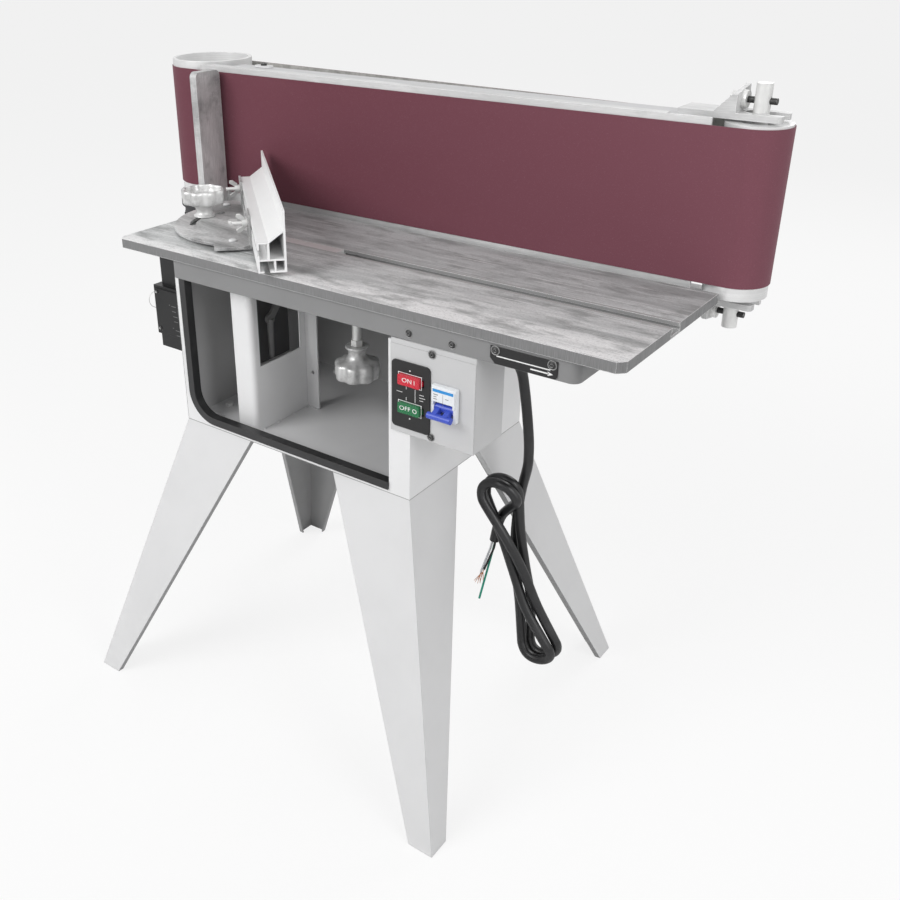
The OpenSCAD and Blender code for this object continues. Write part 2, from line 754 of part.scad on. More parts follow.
// Each ring's side direction is the one before it, made square to the path
function sides_along(p, s, i = 0, out = []) =
    i >= len(p) ? out :
    let (t = tangent_at(p, i), raw = i == 0 ? s : out[i - 1], side = unit(raw - (raw * t) * t))
    sides_along(p, s, i + 1, concat(out, [side]));
function ring(c, t, s, r, n) =
    let (b = cross(t, s)) [for (k = [0:n - 1]) c + r * (cos(360 * k / n) * s + sin(360 * k / n) * b)];
module tube(p, d, n, s) {
    sides = sides_along(p, s);
    pts = [for (i = [0:len(p) - 1]) each ring(p[i], tangent_at(p, i), sides[i], d / 2, n)];
    last = n * (len(p) - 1);
    faces = concat(
        [for (i = [0:len(p) - 2], k = [0:n - 1]) each [
            [n * i + k, n * i + (k + 1) % n, n * (i + 1) + k],
            [n * i + (k + 1) % n, n * (i + 1) + (k + 1) % n, n * (i + 1) + k]
        ]],
        [for (k = [1:n - 2]) [0, k + 1, k]],
        [for (k = [1:n - 2]) [last, last + k, last + k + 1]]
    );
    polyhedron(points = pts, faces = [for (f = faces) [f[0], f[2], f[1]]]);
}

// The hank: long narrow loops that lie beside each other, each turned a little from the last
hank_loops = 2.4;
hank_r = 34;
hank_run = 228;
hank_pitch = cord_d + 2.5;
hank_lean = 11;
hank_turn = 7;
hank_top = cord_exit + [26, 114, -238];
loop_rings = 24;
// One loop: a run down, a half turn, a run up and a half turn
function oval(k) =
    let (i = k % loop_rings, run = 4, bend = 8)
    let (low = 180 * (i - run) / bend, high = 180 * (i - 2 * run - bend) / bend)
    i < run ? [0, -hank_run * i / run] :
    i < run + bend ? [-hank_r + hank_r * cos(low), -hank_run - hank_r * sin(low)] :
    i < 2 * run + bend ? [-2 * hank_r, -hank_run + hank_run * (i - run - bend) / run] :
    [-hank_r - hank_r * cos(high), hank_r * sin(high)];
function hank_point(k) =
    let (q = oval(k), turn = hank_lean + hank_turn * k / loop_rings, c = [-hank_r, -hank_run / 2])
    let (x = (q - c)[0], z = (q - c)[1])
    [x * cos(turn) - z * sin(turn), -hank_pitch * k / loop_rings, x * sin(turn) + z * cos(turn)];
hank_count = round(hank_loops * loop_rings);
hank_path = [for (k = [0:hank_count]) hank_point(k) - hank_point(0) + hank_top];
hank_reaches = [
    for (i = [0:hank_count], j = [0:hank_count]) if (j > i + 8) norm(hank_path[i] - hank_path[j])
];
hank_gap = min(hank_reaches) - cord_d;
echo(least_gap_of_the_hank_to_itself = hank_gap);
// The cord comes into the hank straight along the hank's first run
hank_dir = unit(hank_path[1] - hank_path[0]);
cord_path = concat(cord_route, [hank_top - 1.5 * cord_d * hank_dir, hank_top]);
cord_len = add_all([for (i = [1:len(cord_path) - 1]) norm(cord_path[i] - cord_path[i - 1])]);
hank_len = add_all([for (i = [1:hank_count]) norm(hank_path[i] - hank_path[i - 1])]);
echo(cord_length = cord_len + hank_len);

module power_cord() color("black") placed() tube(cord_path, cord_d, 10, [1, 0, 0]);
module cord_hank() color("black") placed() tube(hank_path, cord_d, 6, [0, 1, 0]);

hank_end = hank_path[hank_count];
hank_end_dir = unit(hank_path[hank_count] - hank_path[hank_count - 1]);
module cord_wires() color("mediumseagreen") placed() {
    for (k = [0:2]) {
        a = 120 * k;
        off = 3 * (cos(a) * [0, 1, 0] + sin(a) * cross(hank_end_dir, [0, 1, 0]));
        start = hank_end + off + slip * hank_end_dir;
        tube([start, start + 14 * hank_end_dir, start + 30 * hank_end_dir + [-4 - 4 * k, -3, -6],
            start + (42 + 12 * k) * hank_end_dir + [-14 - 6 * k, -8, -22 - 10 * k]], 3.4, 8, [0, 1, 0]);
    }
}

// Table

stud_d = 10;
clamp_x = table_left + 339;
clamp_y = -133;
clamp_knob_z = rail_top - 186;
module table_top() color("silver") placed() difference() {
    translate([0, 0, table_h - table_t]) linear_extrude(table_t) polygon([
        [table_left + table_chamfer, table_front], [table_right - table_chamfer, table_front],
        [table_right, table_front + table_chamfer], [table_right, table_back],
        [table_left, table_back], [table_left, table_front + table_chamfer]
    ]);
    box_at([table_left - 1, -slot_y - slot_w / 2, table_h - slot_depth],
        [table_right + 1, -slot_y + slot_w / 2, table_h + 1]);
    box_at([table_left - 1, -slot_y - slot_tee_w / 2, table_h - slot_depth],
        [table_right + 1, -slot_y + slot_tee_w / 2, table_h - slot_depth + slot_tee_h]);
}

// The long stud hangs from the table; the sleeve on it presses the cross bar from below
module table_stud() color("silver") placed()
    pin_z(clamp_x, clamp_y, clamp_knob_z + 8, stud_d, table_h - table_t - clamp_knob_z - 8);
sleeve_low = clamp_knob_z + 52;
module clamp_sleeve() color("silver") placed() difference() {
    union() {
        pin_z(clamp_x, clamp_y, sleeve_low + 10, 15, rail_top - 8 - slip - sleeve_low - 10);
        pin_z(clamp_x, clamp_y, rail_top - 8 - slip - 3, 24, 3);
        hex_z(clamp_x, clamp_y, sleeve_low, 17, 10);
    }
    pin_z(clamp_x, clamp_y, sleeve_low - 1, stud_d + 2 * fit, 200);
}

// A star knob with eight lobes; its dished face is at the bottom and its hub on top
module star_knob(d, hub_d, hub_h, head_h, bore, depth) difference() {
    union() {
        linear_extrude(head_h) difference() {
            circle(d = d);
            for (a = [0:45:315]) rotate(a + 22.5) translate([d / 2 + 7.5, 0]) circle(r = 10);
        }
        translate([0, 0, head_h]) cylinder(d1 = d * 0.72, d2 = hub_d, h = hub_h - 3);
        translate([0, 0, head_h]) cylinder(d = hub_d, h = hub_h - 3);
        translate([0, 0, head_h + hub_h - 3]) cylinder(d = hub_d + 8, h = 3);
    }
    translate([0, 0, -1]) cylinder(d = d * 0.74, h = 6);
    translate([0, 0, head_h + hub_h - depth]) cylinder(d = bore, h = depth + 1);
}

module table_knob() color("lightgray") placed() translate([clamp_x, clamp_y, clamp_knob_z])
    star_knob(star_d + 4, 20, sleeve_low - slip - clamp_knob_z - 28, 28, stud_d + 2 * fit,
        sleeve_low - slip - clamp_knob_z - 7);

// Miter gauge

tee_foot_top = table_h - slot_depth + slot_tee_h;
module miter_bar() color("silver") placed() difference() {
    union() {
        left = knob_at[0] - 37;
        box_at([left, -slot_y - slot_w / 2 + slip, table_h - slot_depth + slip],
            [left + miter_bar_len, -slot_y + slot_w / 2 - slip, table_h - 0.5]);
        box_at([left, -slot_y - slot_tee_w / 2 + slip, table_h - slot_depth + slip],
            [left + miter_bar_len, -slot_y + slot_tee_w / 2 - slip, tee_foot_top - slip]);
        // Bosses that carry the plate over the table
        for (p = [knob_at, pivot_at])
            pin_z(p[0], p[1], table_h - 1, 18, miter_plate_z - slip - table_h + 1);
    }
    for (p = [knob_at, pivot_at]) pin_z(p[0], p[1], table_h - 6, 8, 20);
}

module miter_stud() color("silver") placed()
    pin_z(knob_at[0], knob_at[1], table_h - 6, 8, 46);

module miter_pivot() color("silver") placed() {
    pin_z(pivot_at[0], pivot_at[1], table_h - 6, 8, miter_plate_z + miter_plate_t + slip - table_h + 6);
    pin_z(pivot_at[0], pivot_at[1], miter_plate_z + miter_plate_t + slip, 15, 3);
}

rivet_at = [106, 5];
rivet_d = 6;
upright_y = -22;
module miter_plate() color("silver") placed() on_miter() translate([0, 0, miter_plate_z]) difference() {
    union() {
        half = miter_plate_len / 2;
        linear_extrude(miter_plate_t) polygon([
            [-half, 33], [half, 33], [half, -10], [half - 9, upright_y + bracket_t],
            [-half + 9, upright_y + bracket_t], [-half, -10]
        ]);
        difference() {
            translate([0, -44, 0]) cylinder(r = 134, h = miter_plate_t, $fn = 160);
            translate([-200, -400, -1]) cube([400, 420, miter_plate_t + 2]);
        }
    }
    translate([0, 0, -1]) {
        cylinder(d = 8 + 2 * fit, h = miter_plate_t + 2);
        // Arc slot round the pivot, from one end of the swing to the other
        linear_extrude(miter_plate_t + 2) intersection() {
            difference() {
                circle(miter_r + 5);
                circle(miter_r - 5);
            }
            polygon([[0, 0], 200 * polar(slot_a0), [200, 200], 200 * polar(slot_a1)]);
        }
        for (a = [slot_a0, slot_a1]) translate(miter_r * polar(a)) cylinder(d = 10, h = miter_plate_t + 2);
        for (s = [-1, 1]) translate([s * rivet_at[0], rivet_at[1]])
            cylinder(d = rivet_d + 2 * bolt_gap, h = miter_plate_t + 2);
    }
}

// Angle bracket under the miter plate, with the upright that holds the fence, and its two rivets
module fence_bracket() color("silver") placed() on_miter() {
    half = miter_plate_len / 2 - 6;
    foot_u = rivet_at[0] - 8;
    low = miter_plate_z - bracket_t;
    difference() {
        union() {
            box_at([-half, upright_y, low], [half, 18, low + bracket_t]);
            box_at([-half, upright_y, low], [half, upright_y + bracket_t, tee_z + 16]);
        }
        for (s = [-1, 1]) pin_y(s * wing_u, upright_y - 1, tee_z, tee_bolt_d + 2 * bolt_gap, 8);
        for (s = [-1, 1]) pin_z(s * rivet_at[0], rivet_at[1], low - 1, rivet_d + 2 * bolt_gap, 10);
        // Low middle of the upright, and the room between the two feet for the knob and the bar's bosses
        box_at([-wing_u + 24, upright_y - 1, miter_plate_z + miter_plate_t + 14],
            [wing_u - 24, upright_y + bracket_t + 1, tee_z + 20]);
        box_at([-foot_u, upright_y + bracket_t, low - 1], [foot_u, 19, low + bracket_t + 1]);
    }
    for (s = [-1, 1]) {
        pin_z(s * rivet_at[0], rivet_at[1], low, rivet_d, miter_plate_t + bracket_t + 0.5);
        pin_z(s * rivet_at[0], rivet_at[1], miter_plate_z + miter_plate_t, 11, 3);
    }
}

// Extruded fence; its outline is drawn from the back (0) to the working face (-fence_w)
fence_mid = 15;
module fence_profile() {
    t = fence_wall;
    web = 16.5;
    diag_top = 58;
    difference() {
        polygon([
            [0, 0], [fence_w, 0], [fence_w, fence_h], [fence_w - 3, fence_h], [fence_w - 3, diag_top],
            [fence_mid, fence_box_h], [0, fence_box_h]
        ]);
        // Lower cell with its mouth, and the small square cell
        translate([t, t]) square([22 - t, web - t]);
        translate([8, -1]) square([8, t + 2]);
        translate([24.5, t]) square([fence_w - 3 - 24.5, web - t]);
        // Rear cell with its mouth
        translate([t, web + t]) square([fence_mid - 2 * t + 1, fence_box_h - web - 2 * t]);
        translate([-1, 28.5 - 4]) square([t + 2, 8]);
        // Tall cell under the slope
        polygon([
            [fence_mid + 1.5, web + t], [fence_w - 3, web + t], [fence_w - 3, diag_top - 2.5],
            [fence_mid + 1.5, fence_box_h - 1.5]
        ]);
    }
}
module fence() color("gainsboro") placed() on_miter()
    translate([fence_lead, -fence_back_w, fence_z]) rotate([90, 0, -90])
        linear_extrude(fence_len) fence_profile();

module fence_bolts() color("silver") placed() on_miter() for (s = [-1, 1]) {
    head_y = -fence_back_w - fence_wall - slip - 3.5;
    pin_y(s * wing_u, head_y, tee_z, tee_bolt_d, upright_y - head_y + 26);
    box_at([s * wing_u - 7, head_y, tee_z - 6], [s * wing_u + 7, head_y + 3.5, tee_z + 6]);
}

module wing_nut(u) on_miter() translate([u, upright_y + bracket_t + slip, tee_z]) rotate([-90, 0, 0])
    rotate([0, 0, 75]) difference() {
        union() {
            cylinder(d = 13, h = 8);
            for (s = [-1, 1]) translate([0, 1.5, 3]) rotate([90, 0, 0]) linear_extrude(3)
                polygon([[s * 3, 0], [s * 9, 1], [s * 15, 8], [s * 15, 13], [s * 11, 14], [s * 5, 6]]);
        }
        translate([0, 0, -1]) cylinder(d = tee_bolt_d + 2 * fit, h = 30);
    }
module wing_nut_front() color("whitesmoke") placed() wing_nut(-wing_u);
module wing_nut_rear() color("whitesmoke") placed() wing_nut(wing_u);

module miter_knob() color("lightgray") placed()
    translate([knob_at[0], knob_at[1], miter_plate_z + miter_plate_t + slip]) mirror([0, 0, 1])
        translate([0, 0, -44]) star_knob(star_d, 26, 20, 24, 8 + 2 * fit, 37);

// Head

module head_beam() color("slategray") placed() difference() {
    box_at([beam_left, beam_y, plate_top], [beam_right, beam_y + beam_d, beam_top]);
    box_at([beam_left - 1, beam_y + beam_wall, plate_top + beam_wall],
        [beam_right + 1, beam_y + beam_d - beam_wall, beam_top - beam_wall]);
}

module platen() color("gainsboro") placed() {
    box_at([platen_left, platen_y, plate_top], [platen_right, platen_y + platen_t, beam_top + platen_t]);
    // Lip on the beam, clear of the drive drum
    box_at([platen_left + 14, platen_y, beam_top], [platen_right - 60, fork_front - 2, beam_top + platen_t]);
    // Spacer strips between the platen and the beam
    for (z = [plate_top + 14, beam_top - 34])
        box_at([beam_left + 6, platen_y + platen_t, z], [beam_right - 6, beam_y, z + 20]);
}

motor_flange_d = drive_d + 14;
motor_spigot_d = 100;
motor_bolt_r = 61;
drive_plate_w = 112;
module drive_plate() color("slategray") placed() difference() {
    translate([0, 0, plate_z]) linear_extrude(drive_plate_t) {
        translate([0, drive_y]) circle(d = motor_flange_d);
        translate([0, drive_y - drive_plate_w / 2]) square([beam_left + 110, drive_plate_w]);
    }
    pin_z(0, drive_y, plate_z - 1, motor_spigot_d, drive_plate_t + 2);
    for (a = [45:90:315])
        pin_z(motor_bolt_r * cos(a), drive_y + motor_bolt_r * sin(a), plate_z - 1, 9, drive_plate_t + 2);
    for (dy = [22, 42]) pin_z(stop_x + 26, dy, plate_z - 1, 8 + 2 * bolt_gap, drive_plate_t + 2);
}

stop_low = plate_z - 26;
module stop_bar() color("silver") placed() difference() {
    union() {
        plate_yz(stop_x, stop_t) {
            r = 9;
            y1 = -stop_gap;
            y0 = y1 - stop_w;
            top = belt_top + 6;
            translate([y0, stop_low]) square([stop_w, top - r - stop_low]);
            translate([y0 + r, stop_low]) square([stop_w - 2 * r, top - stop_low]);
            for (y = [y0 + r, y1 - r]) translate([y, top - r]) circle(r);
            translate([y0, stop_low]) square([stop_w + stop_gap + 56, plate_z - stop_low]);
        }
        // Foot that is bolted to the drive plate
        box_at([stop_x, 6, plate_z - 8], [stop_x + 42, 54, plate_z]);
    }
    for (dy = [22, 42]) pin_z(stop_x + 26, dy, plate_z - 30, 8 + 2 * bolt_gap, 40);
}

// The fork's plate, end plate and gussets, drawn with its plate from z up and the rest above it
module fork_form() {
    difference() {
        union() {
            box_at([beam_right - fork_lap, fork_front, 0], [fork_tip - 6, fork_back, fork_t]);
            for (y = [fork_front + 6, fork_back - 6]) pin_z(fork_tip - 6, y, 0, 12, fork_t);
            box_at([fork_tip - 7, fork_front + 6, 0], [fork_tip, fork_back - 6, fork_t]);
        }
        pin_z(drum_pitch - idler_travel - 2, idler_y, -1, axle_d + 2 * slip, fork_t + 2);
        box_at([drum_pitch - idler_travel - 2, idler_y - axle_d / 2 - slip, -1],
            [fork_tip + 1, idler_y + axle_d / 2 + slip, fork_t + 1]);
    }
    difference() {
        plate_yz(end_plate_x - end_plate_t, end_plate_t) polygon([
            [fork_front, fork_t], [fork_back, fork_t],
            [fork_back, fork_t + end_plate_h], [fork_front, fork_t + end_plate_front_h]
        ]);
        pin_x(end_plate_x - 40, idler_y, fork_t + 14, tension_d + 2 * bolt_gap, 60);
    }
    for (y = [fork_front, fork_back - 4]) plate_xz(y, 4) polygon([
        [end_plate_x - gusset_foot, fork_t], [end_plate_x - end_plate_t, fork_t],
        [end_plate_x - end_plate_t, fork_t + end_plate_front_h]
    ]);
}
module fork_top() color("gainsboro") placed() translate([0, 0, beam_top]) fork_form();
module fork_bottom() color("gainsboro") placed() {
    translate([0, 0, fork_low_top]) mirror([0, 0, 1]) fork_form();
    box_at([beam_right - fork_lap, fork_front, fork_low_top], [beam_right, beam_y + beam_d, plate_top]);
}

// Each tension bolt goes through the axle, and its nuts hold it on the end plate
tension_stub = 8;
tension_z = [tension_z_low, tension_z_top];
module tension_bolts() color("dimgray") placed() for (z = tension_z) {
    bolt_x = end_plate_x - end_plate_t - 10;
    pin_x(bolt_x, idler_y, z, tension_d, drum_pitch + axle_d / 2 + tension_stub - bolt_x);
}
module tension_nuts() color("dimgray") placed() for (z = tension_z) difference() {
    union() {
        pin_x(end_plate_x, idler_y, z, 22, tension_nut_h);
        hex_x(end_plate_x - end_plate_t - 8, idler_y, z, 16, 8);
    }
    pin_x(end_plate_x - 40, idler_y, z, tension_d + 2 * fit, 80);
    box_at([end_plate_x - end_plate_t, idler_y - 20, z - 20], [end_plate_x, idler_y + 20, z + 20]);
}

module hinge_arms() color("slategray") placed() for (x = arm_x) difference() {
    plate_yz(x - arm_t / 2, arm_t) {
        translate([pivot_y, pivot_z]) circle(boss_r);
        polygon([[beam_y, plate_top], [beam_y + beam_d, plate_top],
            [pivot_y + boss_r * cos(20), pivot_z + boss_r * sin(20)],
            [pivot_y - boss_r * cos(40), pivot_z - boss_r * sin(40)], [beam_y, plate_top - 16]]);
    }
    pin_x(x - arm_t, pivot_y, pivot_z, tilt_pin_d + 2 * fit, 2 * arm_t);
}

bracket_bolt_d = 8;
bracket_bolts_dz = [14, 60];
// Two cheeks and a back plate for each arm, bolted to the cabinet's rear wall
module hinge_brackets() color("lightgray") placed() for (x = arm_x) {
    inner = arm_t / 2 + slip;
    difference() {
        union() {
            box_at([x - inner - cheek_t, cab_back, pivot_z - 74],
                [x + inner + cheek_t, cab_back + 5, cab_top - 4]);
            for (side = [x - inner - cheek_t, x + inner]) plate_yz(side, cheek_t) {
                translate([pivot_y, pivot_z]) circle(boss_r - 3);
                polygon([
                    [cab_back + 4, pivot_z - 74], [cab_back + 4, cab_top - 4], [cab_back + 14, cab_top - 4],
                    [pivot_y + 2, pivot_z + boss_r - 3.2], [pivot_y + 10, pivot_z - boss_r + 6.5]
                ]);
            }
        }
        pin_x(x - 30, pivot_y, pivot_z, tilt_pin_d + 2 * fit, 60);
        for (dz = bracket_bolts_dz)
            pin_y(x, cab_back - 5, pivot_z - dz, bracket_bolt_d + 2 * bolt_gap, 14);
    }
    // Mounting bolts
    for (dz = bracket_bolts_dz) {
        pin_y(x, cab_back - 10, pivot_z - dz, bracket_bolt_d, 15);
        pin_y(x, cab_back + 5, pivot_z - dz, 10, 3);
    }
}

module tilt_pins() color("silver") placed() for (x = arm_x) {
    reach = arm_t / 2 + slip + cheek_t;
    pin_x(x - reach - 4, pivot_y, pivot_z, tilt_pin_d, 2 * reach + 4);
    pin_x(x - reach - 8, pivot_y, pivot_z, tilt_pin_d + 8, 8 - slip);
}

module lock_quadrant() color("slategray") placed() difference() {
    union() {
        plate_yz(quadrant_x, quadrant_t) translate([pivot_y, pivot_z]) difference() {
            circle(lock_r + 10);
            circle(lock_r - 14);
            // Only the sector that holds the slot is kept
            polygon([
                [0, 0], 200 * polar(lock_angle - 8), [-250, 200], [250, 200], [250, -100],
                200 * polar(lock_angle + 100)
            ]);
        }
        plate_yz(quadrant_x, quadrant_t) polygon([
            [beam_y, plate_top], [beam_y + beam_d, plate_top],
            [pivot_y, pivot_z] + (lock_r - 9) * polar(lock_angle + 95),
            [pivot_y, pivot_z] + (lock_r - 9) * polar(lock_angle + 20)
        ]);
    }
    // Arc slot of the clamp bolt, drilled a little wider at its two ends
    w = lock_bolt_d / 2 + slip;
    plate_yz(quadrant_x - 1, quadrant_t + 2) translate([pivot_y, pivot_z]) difference() {
        circle(lock_r + w);
        circle(lock_r - w);
        polygon([
            [0, 0], 200 * polar(lock_angle), [-250, 250], [250, 250], [250, -60],
            200 * polar(lock_angle + 90)
        ]);
    }
    for (a = [lock_angle, lock_angle + 90]) {
        at = [pivot_y, pivot_z] + lock_r * polar(a);
        pin_x(quadrant_x - 1, at[0], at[1], 2 * w + 0.6, quadrant_t + 2);
    }
}

// Clamp bolt whose cranked lever hangs inside the cabinet
lever_reach = [-104, -110];
lever_x = cab_left + sheet_t + slip;
module lock_lever() color("dimgray") placed() {
    head_x = quadrant_x - slip - 6;
    hub = 2 * (lock_bolt_d - 1);
    pin_x(head_x, lock_y, lock_z, lock_bolt_d, lever_x + 16 - head_x);
    pin_x(head_x, lock_y, lock_z, 2 * lock_bolt_d, 6);
    pin_x(lever_x, lock_y, lock_z, hub, 16);
    // Flat arm from the hub down to the handle
    plate_yz(lever_x + 8, 6) {
        translate([lock_y, lock_z]) rotate(atan2(lever_reach[1], lever_reach[0]))
            translate([0, -6]) square([norm(lever_reach), 12]);
        translate([lock_y + lever_reach[0], lock_z + lever_reach[1]]) circle(9);
    }
    translate([lever_x + 11, lock_y + lever_reach[0], lock_z + lever_reach[1] - 66]) {
        cylinder(d1 = 9, d2 = 12, h = 66);
        sphere(d = 9);
    }
}

// Motor and drive drum

module on_motor(z) translate([0, drive_y, z]) children();
module motor_body() color("dimgray") placed() on_motor(motor_top - motor_len) difference() {
    union() {
        cylinder(d = motor_d - 16, h = motor_len);
        translate([0, 0, motor_len - 12]) cylinder(d = motor_flange_d, h = 12);
        translate([0, 0, motor_len]) cylinder(d = motor_spigot_d - 2 * slip, h = 4);
        translate([0, 0, motor_len - 34]) cylinder(d = motor_d - 4, h = 24);
        // Cooling fins
        translate([0, 0, 12]) linear_extrude(motor_len - 40)
            for (a = [0:12:348]) rotate(a) translate([motor_d / 2 - 14, -1.2]) square([14, 2.4]);
    }
    translate([0, 0, -1]) cylinder(d = shaft_d + 2 * fit, h = motor_len + 10);
    for (a = [45:90:315]) rotate(a) translate([motor_bolt_r, 0, motor_len - 20]) cylinder(d = 9, h = 30);
}

fan_cover_h = 56;
fan_cover_top = motor_top - motor_len;
module fan_cover() color("dimgray") placed() on_motor(fan_cover_top - fan_cover_h) difference() {
    union() {
        cylinder(d1 = motor_d - 12, d2 = motor_d - 2, h = 10);
        translate([0, 0, 10]) cylinder(d = motor_d - 2, h = fan_cover_h);
    }
    translate([0, 0, 3]) cylinder(d = motor_d - 15.4, h = fan_cover_h + 20);
    for (r = [14:10:54], a = [0:45:315]) rotate(a) translate([r, 0, -1]) linear_extrude(6)
        square([5, r * 0.5], center = true);
}

// Terminal box with the bracket plate that carries it on the motor
module terminal_box() color("black") placed() {
    z0 = belt_z - 358;
    z1 = z0 + 130;
    inner = -motor_d / 2 + 10;
    difference() {
        union() {
            box_at([terminal_left, drive_y - 50, z0 + 27], [inner, drive_y + 40, z1]);
            box_at([terminal_left + 7, drive_y - 48, z0], [inner, drive_y + 38, z0 + 27]);
            box_at([terminal_left + 4, drive_y - 53, z0 + 33], [-motor_d / 2 - 8, drive_y - 50, z1 - 6]);
            box_at([terminal_left + 15, drive_y - 40, z1], [inner, drive_y - 34, z1 + 93]);
        }
        translate([0, drive_y, z0 - 1]) cylinder(r = motor_d / 2 + slip, h = 240);
    }
}

module motor_shaft() color("silver") placed() on_motor(fan_cover_top - 34)
    cylinder(d = shaft_d, h = belt_z + 130 - fan_cover_top + 34);

module motor_fan() color("dimgray") placed() on_motor(fan_cover_top - 32) difference() {
    union() {
        cylinder(d = 44, h = 24);
        for (a = [0:60:300]) rotate(a) translate([18, -1.5, 0]) cube([38, 3, 24]);
    }
    translate([0, 0, -1]) cylinder(d = shaft_d + 2 * fit, h = 40);
}

module drive_drum() color("gainsboro") placed() on_motor(drum_z) difference() {
    len = belt_top + drive_above - drum_z;
    union() {
        difference() {
            cylinder(r = drive_r, h = len, $fn = 128);
            translate([0, 0, -1]) cylinder(r = drive_r - drive_wall, h = len + 2);
        }
        // Web and hub on the shaft
        translate([0, 0, 60]) difference() {
            cylinder(r = drive_r - drive_wall + 0.5, h = 12);
            for (a = [30:60:330]) rotate(a) translate([42, 0, -1]) cylinder(d = 18, h = 14);
        }
        translate([0, 0, 40]) cylinder(d = 50, h = 90);
    }
    translate([0, 0, 30]) cylinder(d = shaft_d + 2 * fit, h = 110);
}

bearing_d = 47;
bearing_h = 14;
module idler_drum() color("whitesmoke") placed() translate([drum_pitch, idler_y, drum_z]) difference() {
    len = idler_top - drum_z;
    cylinder(r = idler_r, h = len, $fn = 128);
    translate([0, 0, -1]) cylinder(d = bearing_d + 2 * fit, h = bearing_h + 7);
    translate([0, 0, len - bearing_h - 6]) cylinder(d = bearing_d + 2 * fit, h = bearing_h + 7);
    translate([0, 0, 1]) cylinder(d = 36, h = len - 2);
    translate([0, 0, bearing_h + 14]) cylinder(r = idler_r - idler_wall, h = len - 2 * bearing_h - 28);
}

module idler_bearings() color("silver") placed() translate([drum_pitch, idler_y, 0])
    for (z = [drum_z + 6, idler_top - 6 - bearing_h]) translate([0, 0, z]) difference() {
        cylinder(d = bearing_d, h = bearing_h);
        translate([0, 0, -1]) cylinder(d = axle_d + 2 * fit, h = bearing_h + 2);
        for (e = [-0.01, bearing_h - 1.5]) translate([0, 0, e]) difference() {
            cylinder(d = 39, h = 1.51);
            translate([0, 0, -1]) cylinder(d = 28, h = 4);
        }
    }

axle_low = tension_z_low - 19;
axle_high = tension_z_top + 21;
module idler_axle() color("silver") placed() difference() {
    pin_z(drum_pitch, idler_y, axle_low, axle_d, axle_high - axle_low);
    for (z = tension_z) pin_x(drum_pitch - 20, idler_y, z, tension_d + 2 * bolt_gap, 40);
}

// The belt: the loop that both drums span, less the same loop one thickness in
module belt_loop(inset, h) hull() {
    translate([0, drive_y, 0]) cylinder(r = drive_belt_r - inset, h = h, $fn = 240);
    translate([drum_pitch, idler_y, 0]) cylinder(r = idler_belt_r - inset, h = h, $fn = 240);
}
module sanding_belt() color("#70424c") placed() translate([0, 0, belt_z]) difference() {
    belt_loop(0, belt_w);
    translate([0, 0, -1]) belt_loop(belt_t, belt_w + 2);
}

cabinet_shell();
window_trim();
column();
leg_front_left();
leg_front_right();
leg_rear_left();
leg_rear_right();
leg_bolts();
underframe();
frame_bolts();
control_box();
control_cover();
cover_screws();
switch_plate();
on_key();
off_key();
breaker_body();
breaker_lever();
arrow_plate();
cable_gland();
power_cord();
cord_hank();
cord_wires();
table_top();
table_stud();
clamp_sleeve();
table_knob();
miter_bar();
miter_plate();
miter_stud();
miter_knob();
miter_pivot();
fence_bracket();
fence();
fence_bolts();
wing_nut_front();
wing_nut_rear();
head_beam();
platen();
drive_plate();
stop_bar();
fork_top();
fork_bottom();
hinge_arms();
hinge_brackets();
tilt_pins();
lock_quadrant();
lock_lever();
motor_body();
fan_cover();
terminal_box();
motor_shaft();
motor_fan();
drive_drum();
idler_drum();
idler_axle();
idler_bearings();
tension_bolts();
tension_nuts();
sanding_belt();
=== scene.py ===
import math
import random

import bmesh
import bpy
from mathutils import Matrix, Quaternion, Vector


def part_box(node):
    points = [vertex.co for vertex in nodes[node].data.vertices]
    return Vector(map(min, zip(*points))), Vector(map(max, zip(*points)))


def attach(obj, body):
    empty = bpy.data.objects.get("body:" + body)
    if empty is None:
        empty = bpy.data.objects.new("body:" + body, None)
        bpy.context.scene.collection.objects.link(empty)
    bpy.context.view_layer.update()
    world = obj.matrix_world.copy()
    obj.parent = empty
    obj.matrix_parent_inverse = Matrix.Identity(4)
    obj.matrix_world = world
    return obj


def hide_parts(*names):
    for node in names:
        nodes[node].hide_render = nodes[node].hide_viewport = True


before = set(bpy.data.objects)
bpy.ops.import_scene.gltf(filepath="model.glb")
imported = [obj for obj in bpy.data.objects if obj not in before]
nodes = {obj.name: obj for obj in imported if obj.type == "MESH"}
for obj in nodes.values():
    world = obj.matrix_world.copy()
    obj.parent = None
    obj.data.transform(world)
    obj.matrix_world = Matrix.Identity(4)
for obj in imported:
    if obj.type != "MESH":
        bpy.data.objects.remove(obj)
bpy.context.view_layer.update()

MM = 0.001
# The drive drum's axis and the belt's face, where the CAD source has its zero, in the frame
ORIGIN = Vector((-426.55, 134.0, 0.0)) * MM

# Places of the CAD source that the looks and marks follow, in mm from that zero
DRIVE_AXIS = (0, 70.6)
IDLER_AXIS = (975, 43.1)
CABINET_LEFT, CABINET_RIGHT = 249, 681
CABINET_FRONT, CABINET_BACK = -283.5, 15.5
CABINET_TOP = 705.7
CABINET_SHEET = 2.0
CONTROL_LEFT, CONTROL_FRONT = 652.3, -287.0
RAIL_FRONT = -286.0
SLOT_Y = -145
MITER_PIVOT = (239, SLOT_Y)
MITER_TURN = 47
MITER_TOP = 756.0
KEY_W, KEY_H = 34.0, 15.0


def at(x, y, z):
    """A point given in mm from the drive drum's axis, the belt's face and the floor."""
    return ORIGIN + Vector((x, y, z)) * MM


# Camera and stage

CAMERA_AZIMUTH = 36.96
CAMERA_ELEVATION = 26.06
CAMERA_ROLL = -0.43
CAMERA_PLACE = at(1374.1, -1265.1, 1190.7)
CAMERA_LENS = 40.82
CAMERA_SHIFT = (0.0752, -0.0411)


